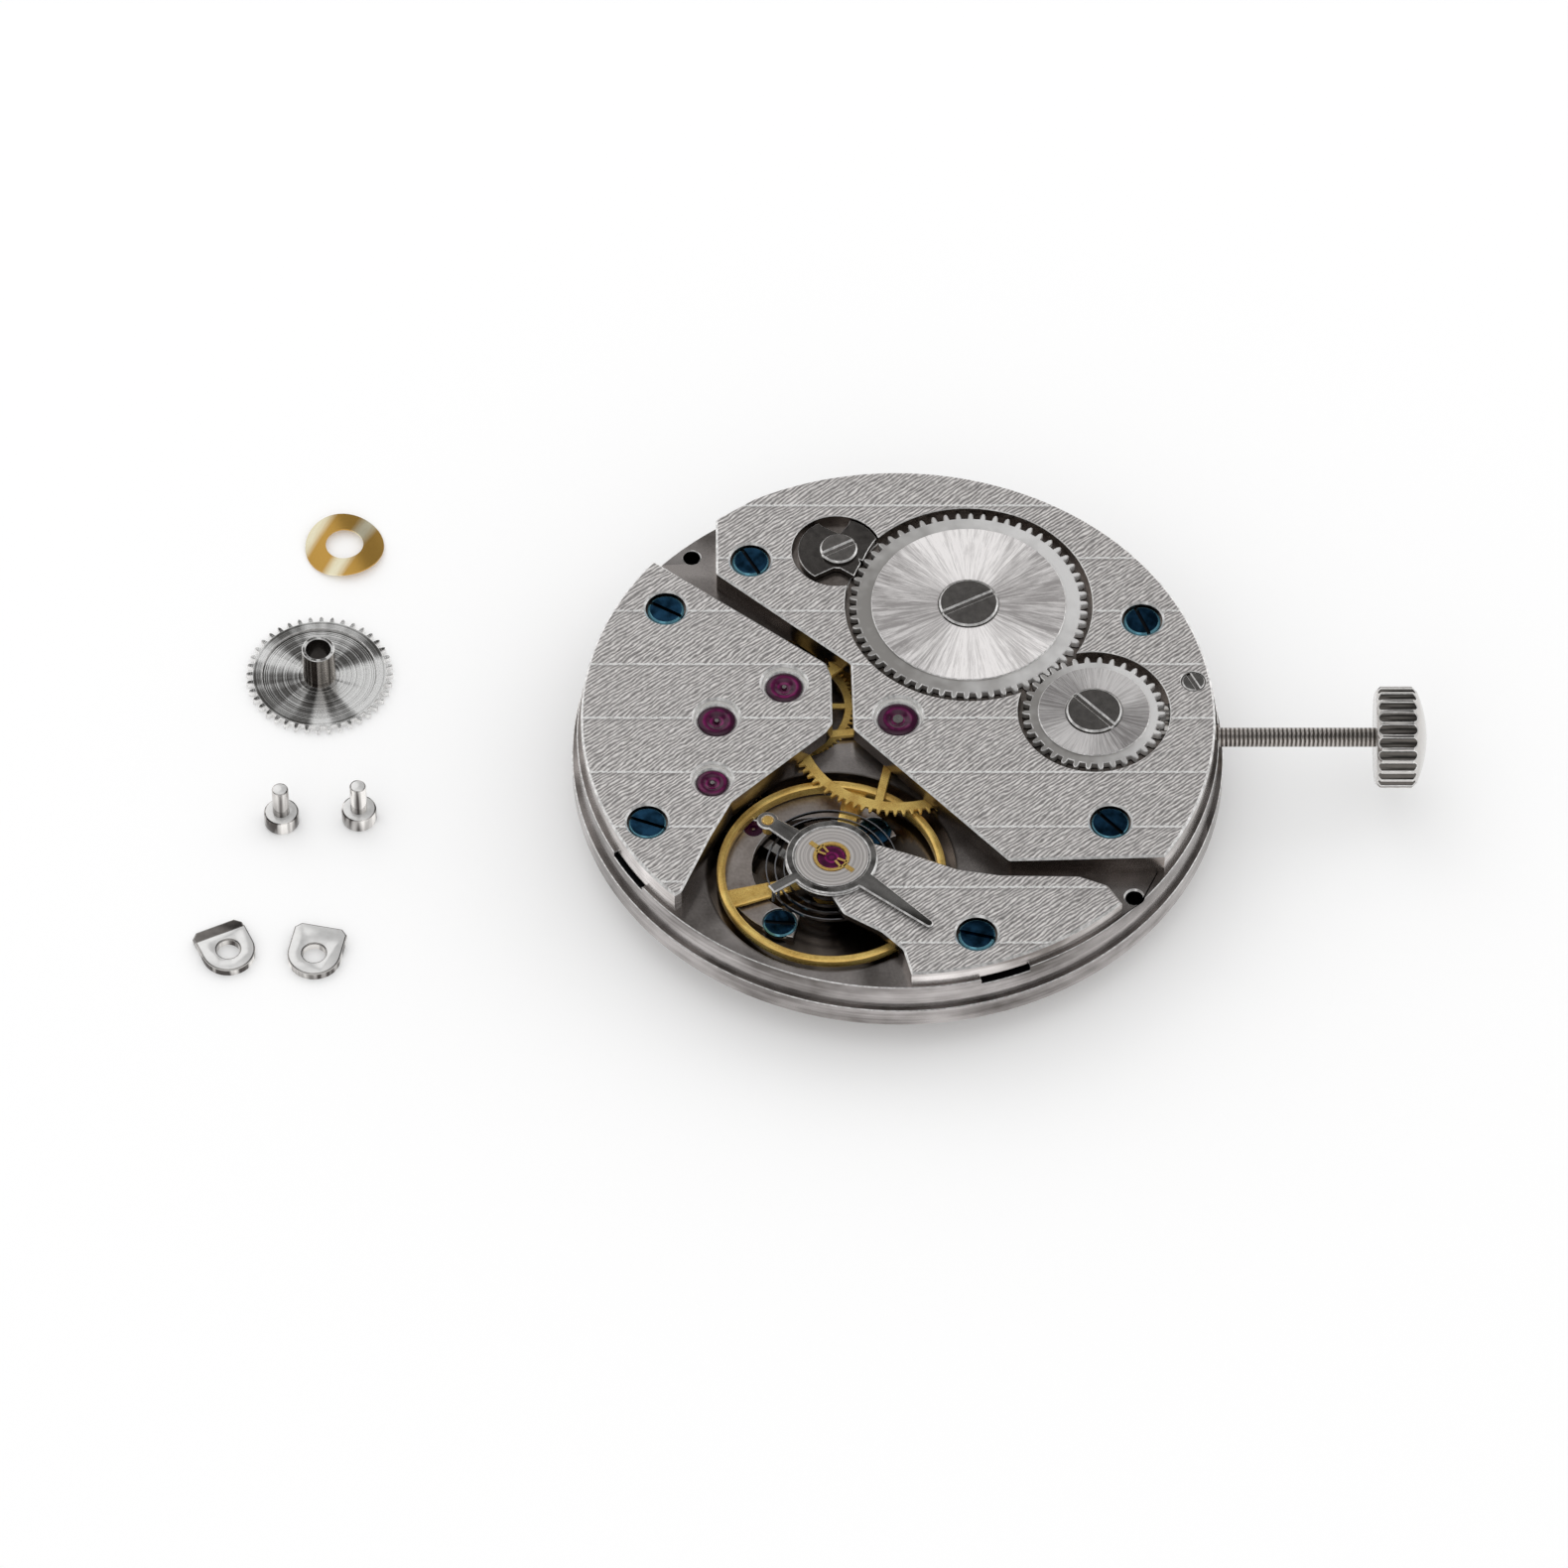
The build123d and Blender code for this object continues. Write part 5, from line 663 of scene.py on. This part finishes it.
def is_side(face, lean=0.3):
    """Whether a face stands upright, apart from some lean."""
    return abs(face.normal.z) < lean


def loops_of(edges):
    """Edges in groups that hang together, so that a short edge narrows the bevel of its own group alone."""
    left, found = dict.fromkeys(edges), []
    while left:
        near = [left.popitem()[0]]
        loop = []
        while near:
            edge = near.pop()
            loop.append(edge)
            for other in (other for vert in edge.verts for other in vert.link_edges):
                if other in left:
                    del left[other]
                    near.append(other)
        found.append(loop)
    return found


def islands(bm):
    """The separate solids of a bmesh."""
    left, found = dict.fromkeys(bm.verts), []
    while left:
        near, verts = [left.popitem()[0]], []
        while near:
            vert = near.pop()
            verts.append(vert)
            for edge in vert.link_edges:
                other = edge.other_vert(vert)
                if other in left:
                    del left[other]
                    near.append(other)
        spans = [(min(vert.co[i] for vert in verts), max(vert.co[i] for vert in verts)) for i in range(3)]
        middle = Vector([(low + high) * 0.5 for low, high in spans[:2]] + [0])
        found.append(Solid(middle, (spans[0][1] - spans[0][0]) * 0.5, *spans[2], verts))
    return found


def dress(node, finishes, bevel=0.0, choose=None, only_top=False, least_degrees=35.0, segments=1, turns=()):
    """Replaces a CAD node by a smooth copy with bevelled edges.

    The first finish covers everything, the last one the bevels, and choose(face) may name another. The bevel is a
    width, or a function that gives the width at the middle of an edge, and falls on outward edges whose faces meet at
    least_degrees or more. Turns are angles in degrees that the node's separate solids, taken from west to east, turn
    about their own upright axes."""
    bm = merged_copy(node)
    if turns:
        for solid, degrees in zip(sorted(islands(bm), key=lambda solid: solid.middle.x), turns):
            bmesh.ops.rotate(bm, cent=solid.middle, matrix=Matrix.Rotation(math.radians(degrees), 3, "Z"),
                             verts=solid.verts)
    bm.normal_update()
    for face in bm.faces:
        face.material_index = finishes.index(choose(face)) if choose else 0
    if bevel:
        groups = {}
        for edge in bm.edges:
            if len(edge.link_faces) != 2 or not edge.is_convex:
                continue
            if edge.calc_face_angle(0.0) < math.radians(least_degrees):
                continue
            if only_top and not any(is_top(face) for face in edge.link_faces):
                continue
            width = bevel((edge.verts[0].co + edge.verts[1].co) * 0.5) if callable(bevel) else bevel
            if width:
                groups.setdefault(width, []).append(edge)
        # all groups are found before the first bevel, which deletes the edges that it widens
        loops = [(width, loop) for width, edges in groups.items() for loop in loops_of(edges)]
        for width, loop in loops:
            bmesh.ops.bevel(bm, geom=[edge for edge in loop if edge.is_valid], offset=width, offset_type="OFFSET",
                            affect="EDGES", segments=segments, profile=0.5, material=len(finishes) - 1,
                            clamp_overlap=True)
    finish_piece(bm, node + "_finished", body_of[node], finishes, replaces=node)


def places_of(node):
    """Middle and radius of each separate solid of a CAD node."""
    bm = merged_copy(node)
    found = [(solid.middle, solid.radius) for solid in islands(bm)]
    bm.free()
    return found


def near_any(place, places, reach):
    """Whether a place lies over one of some round solids, or within a reach of its edge."""
    return any((place.xy - middle.xy).length < radius + reach for middle, radius in places)


def turned(bm, profile, middle, segments=64):
    """Adds a closed solid turned from points of radius and height round an upright axis."""
    verts = [bm.verts.new((middle.x + radius, middle.y, height)) for radius, height in profile]
    edges = [bm.edges.new((a, b)) for a, b in zip(verts, verts[1:] + verts[:1])]
    bmesh.ops.spin(bm, geom=verts + edges, cent=middle, axis=(0, 0, 1), angle=2 * math.pi, steps=segments,
                   use_merge=True, use_duplicate=False)
    bmesh.ops.remove_doubles(bm, verts=bm.verts, dist=MERGE)
    bmesh.ops.recalc_face_normals(bm, faces=bm.faces)


def plank(bm, middle, degrees, start, end, width, low, high):
    """Adds a flat bar that runs outwards from a middle."""
    made = bmesh.ops.create_cube(bm, size=1.0)["verts"]
    bmesh.ops.scale(bm, vec=(end - start, width, high - low), verts=made)
    bmesh.ops.translate(bm, vec=((start + end) * 0.5, 0, (low + high) * 0.5), verts=made)
    bmesh.ops.rotate(bm, cent=(0, 0, 0), matrix=Matrix.Rotation(math.radians(degrees), 3, "Z"), verts=made)
    bmesh.ops.translate(bm, vec=(middle[0], middle[1], 0), verts=made)


class MOVEMENT_OT_studio(bpy.types.Operator):
    """Pale table, soft lamps and the camera"""
    bl_idname = "movement.studio"
    bl_label = "Studio"

    def execute(self, context):
        scene = context.scene
        scene.view_settings.view_transform = "Standard"
        self.add_table(scene)
        self.add_world(scene)
        self.add_lamps(scene)
        self.add_camera(scene)
        return {"FINISHED"}

    def add_table(self, scene):
        """White table a hair's breadth below the lowest piece."""
        half_width = 1.5
        bm = bmesh.new()
        bmesh.ops.create_grid(bm, x_segments=1, y_segments=1, size=half_width)
        bmesh.ops.translate(bm, vec=(0, 0, (table_height - sizes().table_gap) * MM), verts=bm.verts)
        mesh = bpy.data.meshes.new("table")
        bm.to_mesh(mesh)
        bm.free()
        look = Finish("table", colours().floor, metallic=0.0, roughness=0.6, Specular_IOR_Level=0.2,
                      Emission_Color=(1.0, 1.0, 1.0), Emission_Strength=0.15)
        mesh.materials.append(look.material)
        table = bpy.data.objects.new("table", mesh)
        scene.collection.objects.link(table)

    def add_world(self, scene):
        """Even light all round, which the metals mirror as pale at the horizon and dark overhead."""
        scene.world = bpy.data.worlds.new("surroundings")
        nodes = Nodes(scene.world)
        height = nodes.split(nodes.node("TexCoord", output="Generated"))[2]
        falling = nodes.ramp(height, ((0.0, 1.0), (0.35, 1.0), (0.62, 0.98), (1.0, 0.96)))
        mirrored = nodes.ramp(height, ((0.0, 0.95), (0.22, 0.80), (0.45, 0.34), (0.62, 0.15), (0.86, 0.12),
                                       (0.95, 0.50), (1.0, 0.75)))
        shade = nodes.mixed(nodes.node("LightPath", output="Is Glossy Ray"), falling, mirrored)
        surface = nodes.tree.nodes.new("ShaderNodeOutputWorld").inputs["Surface"]
        nodes.plug(surface, nodes.node("Background", inputs={"Color": shade}))

    def add_lamps(self, scene):
        """Three soft round lamps that point at the movement."""
        distance = 0.60
        # name, direction of the lamp from the object, width, power
        lamps = (
            ("key", (-0.40, 0.70, 0.80), 0.40, 0.24),
            ("fill", (0.85, 0.35, 0.60), 0.34, 0.15),
            ("front", (-0.30, -0.80, 0.60), 0.30, 0.10),
        )
        for name, way, width, power in lamps:
            light = bpy.data.lights.new(name, "AREA")
            light.shape, light.size, light.energy = "DISK", width, power
            lamp = bpy.data.objects.new(name, light)
            place = Vector(way).normalized() * distance
            lamp.location = place
            lamp.rotation_euler = (-place).to_track_quat("-Z", "Y").to_euler()
            scene.collection.objects.link(lamp)

    def add_camera(self, scene):
        """Camera at the photograph's angle and frame."""
        rise = math.radians(51.86)
        target = Vector((-6.49, -4.96, 4.5)) * MM
        distance = 0.6
        camera = bpy.data.cameras.new("camera")
        camera.sensor_width = 36.0
        camera.lens = 243.4
        camera.clip_start = 0.01
        holder = bpy.data.objects.new("camera", camera)
        holder.location = target + Vector((0, -math.cos(rise), math.sin(rise))) * distance
        holder.rotation_euler = (math.pi / 2 - rise, 0, 0)
        scene.collection.objects.link(holder)
        scene.camera = holder


class MOVEMENT_OT_plate(bpy.types.Operator):
    """Main plate"""
    bl_idname = "movement.plate"
    bl_label = "Main plate"

    def execute(self, context):
        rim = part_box("main_plate")[1].x / MM
        holes = [(Vector((*hole, 0)), 0.0) for hole in case_holes]
        # the prying slots lie between the flange and the bridges' seat
        flange, seat = 1.3, bridge_top * 2 / 3 - 0.05
        # how far in from the rim slots, slot mouths, turned walls and bevelled edges lie
        slot_reach, mouth_reach, wall_reach, edge_reach = 1.6, 0.45, 0.8, 1.0
        least_outward = 0.6
        hole_reach, hole_bevel, edge_bevel = 0.8, 0.14, 0.05

        def choose(face):
            middle = face.calc_center_median()
            reach = math.hypot(middle.x, middle.y)
            outward = (face.normal.x * middle.x + face.normal.y * middle.y) / max(reach, ON_AXIS)
            in_slot = reach > rim - slot_reach and flange < middle.z < seat
            if in_slot and (outward < least_outward or reach < rim - mouth_reach):
                return "slot_shadow"
            if reach > rim - wall_reach:
                return "rim_nickel"
            return "plate_nickel" if is_top(face) else "plain_nickel"

        def bevel(place):
            if near_any(place, holes, hole_reach):
                return hole_bevel
            return edge_bevel if place.xy.length > rim - edge_reach else 0

        dress("main_plate", ["plate_nickel", "plain_nickel", "rim_nickel", "slot_shadow", "bright_edge"],
              only_top=True, choose=choose, bevel=bevel)
        return {"FINISHED"}


class MOVEMENT_OT_bridges(bpy.types.Operator):
    """Striped bridges and the pallet bridge"""
    bl_idname = "movement.bridges"
    bl_label = "Bridges"

    def execute(self, context):
        rim = abs(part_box("train_bridge")[0].x) / MM - 0.5
        rubies = places_of("upper_jewels")
        sinks = rubies + places_of("bridge_screws")
        sink_reach, sink_bevel, edge_bevel = 0.4, 0.12, 0.05
        # a rounded edge leans between these and lies no deeper than this below the top
        flattest, steepest, edge_depth = 0.9, 0.3, 0.2
        for node, top in (("barrel_bridge", bridge_top), ("train_bridge", bridge_top), ("balance_cock", cock_top)):
            def choose(face, top=top):
                middle = face.calc_center_median()
                if is_top(face, top):
                    return "striped_nickel"
                if steepest < face.normal.z < flattest and middle.z > top - edge_depth:
                    return "bright_edge"
                if near_any(middle, rubies, sink_reach):
                    return "sink_polish"
                return "wall_nickel" if math.hypot(middle.x, middle.y) > rim and is_side(face) else "plain_nickel"

            dress(node, ["plain_nickel", "striped_nickel", "wall_nickel", "sink_polish", "bright_edge"], choose=choose,
                  only_top=True, least_degrees=60.0,
                  bevel=lambda place: sink_bevel if near_any(place, sinks, sink_reach) else edge_bevel)
        dress("pallet_bridge", ["satin_nickel", "bright_edge"], bevel=0.06, only_top=True)
        return {"FINISHED"}


class MOVEMENT_OT_screws(bpy.types.Operator):
    """Blued and steel screws with bevelled heads"""
    bl_idname = "movement.screws"
    bl_label = "Screws"

    def execute(self, context):
        bevel = sizes().screw_bevel
        # a blued head's bevel, the width at its edge where bevels fall, and how deep the floor of its slot lies
        blued_bevel, edge, shallow, deep = bevel * 1.3, 0.06, 0.05, 0.30
        # angles that turn the slots to the photograph's
        for node, turns in (("bridge_screws", (4, -15, -36, 21, -23, -48)), ("pallet_bridge_screws", (25, 60))):
            def choose(face, head=top_of(node)):
                in_slot = is_top(face) and shallow < head - face.calc_center_median().z < deep
                return "slot_shadow" if in_slot else "blued_steel"

            dress(node, ["blued_steel", "slot_shadow", "blued_edge"], only_top=True, turns=turns, choose=choose,
                  bevel=lambda place, heads=places_of(node): 0 if near_any(place, heads, -edge) else blued_bevel)
        for node, turns in (("ratchet_screw", ()), ("crown_wheel_screw", (-9,)), ("click_screw", (-4,))):
            dress(node, ["black_polish", "bright_edge"], bevel=bevel, only_top=True, turns=turns)
        dress("setting_lever_screw", ["screw_polish", "bright_edge"], bevel=bevel * 0.8, only_top=True, turns=(-18,))
        dress("keyless_screws", ["black_polish", "bright_edge"], bevel=0.04)
        return {"FINISHED"}


class MOVEMENT_OT_winding(bpy.types.Operator):
    """Ratchet wheel, crown wheel and click"""
    bl_idname = "movement.winding"
    bl_label = "Winding wheels"

    def execute(self, context):
        for node, teeth, rays in (("ratchet_wheel", "ratchet_teeth", "ratchet_sunray"),
                                  ("crown_wheel", "crown_wheel_teeth", "crown_wheel_sunray")):
            dress(node, [teeth, rays, "bright_edge"], bevel=0.05, only_top=True,
                  choose=lambda face, teeth=teeth, rays=rays: rays if is_top(face, bridge_top) else teeth)
        dress("click", ["click_polish", "bright_edge"], bevel=0.06, only_top=True)
        dress("click_spring", ["spring_steel"])
        return {"FINISHED"}


class MOVEMENT_OT_train(bpy.types.Operator):
    """Barrel, going train and escapement"""
    bl_idname = "movement.train"
    bl_label = "Going train"

    def execute(self, context):
        for node in ("centre_wheel", "third_wheel", "fourth_wheel"):
            dress(node, ["gilt", "gilt_polish"], bevel=0.03, only_top=True)
        for node in ("barrel_drum", "barrel_cover"):
            dress(node, ["gilt", "gilt_polish"])
        for node in ("centre_pinion", "third_pinion", "fourth_pinion", "escape_pinion", "escape_wheel",
                     "pallet_fork", "barrel_arbor", "cannon_pinion"):
            dress(node, ["mirror_steel"])
        for node in ("pallet_stones", "pallet_jewels"):
            dress(node, ["ruby"])
        # the mainspring keeps its own mesh
        for slot in frame["nodes"]["mainspring"].material_slots:
            slot.material = paint("spring_steel")
        return {"FINISHED"}


class MOVEMENT_OT_balance(bpy.types.Operator):
    """Balance, hairspring, regulator and shock settings"""
    bl_idname = "movement.balance"
    bl_label = "Balance"

    def execute(self, context):
        low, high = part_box("balance_wheel")
        arm_reach = (high.x - low.x) / MM * 0.5 - 0.7

        def choose(face):
            middle = face.calc_center_median() - balance_centre
            if math.hypot(middle.x, middle.y) < arm_reach:
                return "gilt"
            # the rim's top gets the lighter gilt with painted glints, its sides the darker copy as painted shade
            return "rim_gilt" if is_top(face) else "deep_gilt"

        dress("balance_wheel", ["gilt", "deep_gilt", "rim_gilt", "gilt_polish"], bevel=0.14, segments=2,
              choose=choose)
        dress("balance_staff", ["mirror_steel"])
        dress("roller", ["mirror_steel"])
        dress("impulse_pin", ["ruby"])
        dress("hairspring", ["spring_steel"])
        dress("hairspring_stud", ["gilt_polish", "gilt_polish"], bevel=0.05)
        for node in ("stud_carrier", "regulator"):
            dress(node, ["regulator_polish", "bright_edge"], bevel=0.08, only_top=True)
        dress("shock_block_upper", ["shock_disc_rings", "bright_edge"], bevel=0.04, only_top=True)
        dress("shock_block_lower", ["gilt_polish", "gilt_polish"], bevel=0.03)
        dress("shock_jewels", ["ruby"])
        dress("shock_springs", ["gilt_polish"])
        self.add_lyre()
        return {"FINISHED"}

    def add_lyre(self):
        """Gilt spring over the upper balance jewel: a ring, two tabs and two pairs of prongs."""
        size = sizes()
        low = top_of("shock_block_upper")
        high = low + size.lyre_thickness
        outer, inner = size.lyre_radius, size.lyre_radius - size.lyre_width
        # tabs and prongs start inside the ring's wire
        wire_middle, ring_middle = outer - size.lyre_width * 0.5, inner + size.lyre_width * 0.5
        tab_width, prong_width = size.lyre_width * 1.6, size.lyre_width * 0.8
        prong_degrees, prong_tip = 16, inner * 0.42
        bm = bmesh.new()
        turned(bm, ((inner, low), (outer, low), (outer, high), (inner, high)), balance_centre)
        for turn in (0, 180):
            at = size.lyre_degrees + turn
            plank(bm, balance_centre, at, wire_middle, outer + size.lyre_tab, tab_width, low, high)
            for side in (-prong_degrees, prong_degrees):
                plank(bm, balance_centre, at + side, prong_tip, ring_middle, prong_width, low, high)
        finish_piece(bm, "shock_lyre", body_of["shock_springs"], ["gilt_polish"])


class MOVEMENT_OT_jewels(bpy.types.Operator):
    """Ruby bearings in bridges and plate"""
    bl_idname = "movement.jewels"
    bl_label = "Jewels"

    def execute(self, context):
        bevel = sizes().jewel_bevel
        # the oil cup from its mouth to the hole: share of the jewel's radius, depth in bevels
        cup = ((0.60, 0.0), (0.52, 0.2), (0.42, 0.6), (0.28, 1.0), (0.15, 1.1))
        solids = merged_copy("upper_jewels")
        bm = bmesh.new()
        for middle, radius, low, high, _ in islands(solids):
            hole = radius * cup[-1][0]
            rim = [(hole, low), (radius - bevel * 0.5, low), (radius, low + bevel * 0.5), (radius, high - bevel),
                   (radius - bevel * 0.3, high - bevel * 0.3), (radius - bevel, high)]
            turned(bm, rim + [(radius * share, high - bevel * depth) for share, depth in cup], middle)
        solids.free()
        finish_piece(bm, "upper_jewels_finished", body_of["upper_jewels"], ["ruby"], smooth=24, replaces="upper_jewels")
        dress("lower_jewels", ["ruby"])
        return {"FINISHED"}


class MOVEMENT_OT_stem(bpy.types.Operator):
    """Stem with its thread, crown, and the keyless and motion work"""
    bl_idname = "movement.stem"
    bl_label = "Stem and crown"

    def execute(self, context):
        dress("winding_stem", ["stem_thread"])
        low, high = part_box("crown")
        axis, radius = (low.z + high.z) / 2 / MM, (high.z - low.z) / 2 / MM
        flute_depth = 0.05

        def choose(face):
            middle = face.calc_center_median()
            in_flute = math.hypot(middle.y, middle.z - axis) < radius - flute_depth
            return "flute_shadow" if in_flute and abs(face.normal.x) < 0.3 else "mirror_steel"

        dress("crown", ["mirror_steel", "flute_shadow", "bright_edge"], bevel=0.05, choose=choose)
        for node in ("winding_pinion", "sliding_pinion", "setting_lever", "yoke", "minute_wheel", "setting_wheel",
                     "setting_lever_spring", "yoke_spring"):
            dress(node, ["mirror_steel"])
        return {"FINISHED"}


class MOVEMENT_OT_loose(bpy.types.Operator):
    """Hour wheel, washer, case screws and clamps on the table"""
    bl_idname = "movement.loose"
    bl_label = "Loose parts"

    def execute(self, context):
        tube_radius = 2.0
        lip_height = top_of("case_clamps") - 0.05

        def tube_or_face(face):
            middle = face.calc_center_median() - hour_wheel_centre
            if is_side(face) and math.hypot(middle.x, middle.y) < tube_radius:
                inwards = face.normal.x * middle.x + face.normal.y * middle.y < 0
                return "flute_shadow" if inwards else "tube_polish"
            return "hour_wheel_rings" if is_top(face) else "bright_steel"

        def lip_or_side(face):
            if is_side(face, lean=0.5):
                return "upright_polish"
            # the lower lip is painted dark as painted shade
            lip_in_painted_shade = is_top(face) and face.calc_center_median().z < lip_height
            return "click_polish" if lip_in_painted_shade else "bright_steel"

        dress("hour_wheel", ["bright_steel", "tube_polish", "hour_wheel_rings", "flute_shadow", "bright_edge"],
              bevel=0.04, choose=tube_or_face)
        dress("dial_washer", ["brass"])
        dress("case_screws", ["upright_polish", "bright_steel", "upright_polish"], bevel=0.10, segments=2,
              choose=lambda face: "bright_steel" if is_top(face) else "upright_polish")
        dress("case_clamps", ["bright_steel", "click_polish", "upright_polish", "screw_polish"], bevel=0.09,
              segments=2, only_top=True, choose=lip_or_side)
        return {"FINISHED"}


class MOVEMENT_PT_sidebar(bpy.types.Panel):
    """Lists the steps that dress the movement"""
    bl_label = "Watch movement"
    bl_idname = "MOVEMENT_PT_sidebar"
    bl_space_type = "VIEW_3D"
    bl_region_type = "UI"
    bl_category = "Movement"

    def draw(self, context):
        layout = self.layout
        for group in (context.scene.movement_sizes, context.scene.movement_colours):
            for name in group.__annotations__:
                layout.prop(group, name)
        for step in steps:
            layout.operator(step.bl_idname)


steps = (
    MOVEMENT_OT_studio, MOVEMENT_OT_plate, MOVEMENT_OT_bridges, MOVEMENT_OT_screws, MOVEMENT_OT_winding,
    MOVEMENT_OT_train, MOVEMENT_OT_balance, MOVEMENT_OT_jewels, MOVEMENT_OT_stem, MOVEMENT_OT_loose,
)
groups = (MovementSizes, MovementColours)


def register():
    for item in (*groups, *steps, MOVEMENT_PT_sidebar):
        bpy.utils.register_class(item)
    bpy.types.Scene.movement_sizes = bpy.props.PointerProperty(type=MovementSizes)
    bpy.types.Scene.movement_colours = bpy.props.PointerProperty(type=MovementColours)


def unregister():
    del bpy.types.Scene.movement_colours
    del bpy.types.Scene.movement_sizes
    for item in (MOVEMENT_PT_sidebar, *reversed(steps), *reversed(groups)):
        bpy.utils.unregister_class(item)


def main():
    """Dresses the movement step by step."""
    register()
    for step in steps:
        family, name = step.bl_idname.split(".")
        getattr(getattr(bpy.ops, family), name)()


if __name__ == "__main__":
    main()
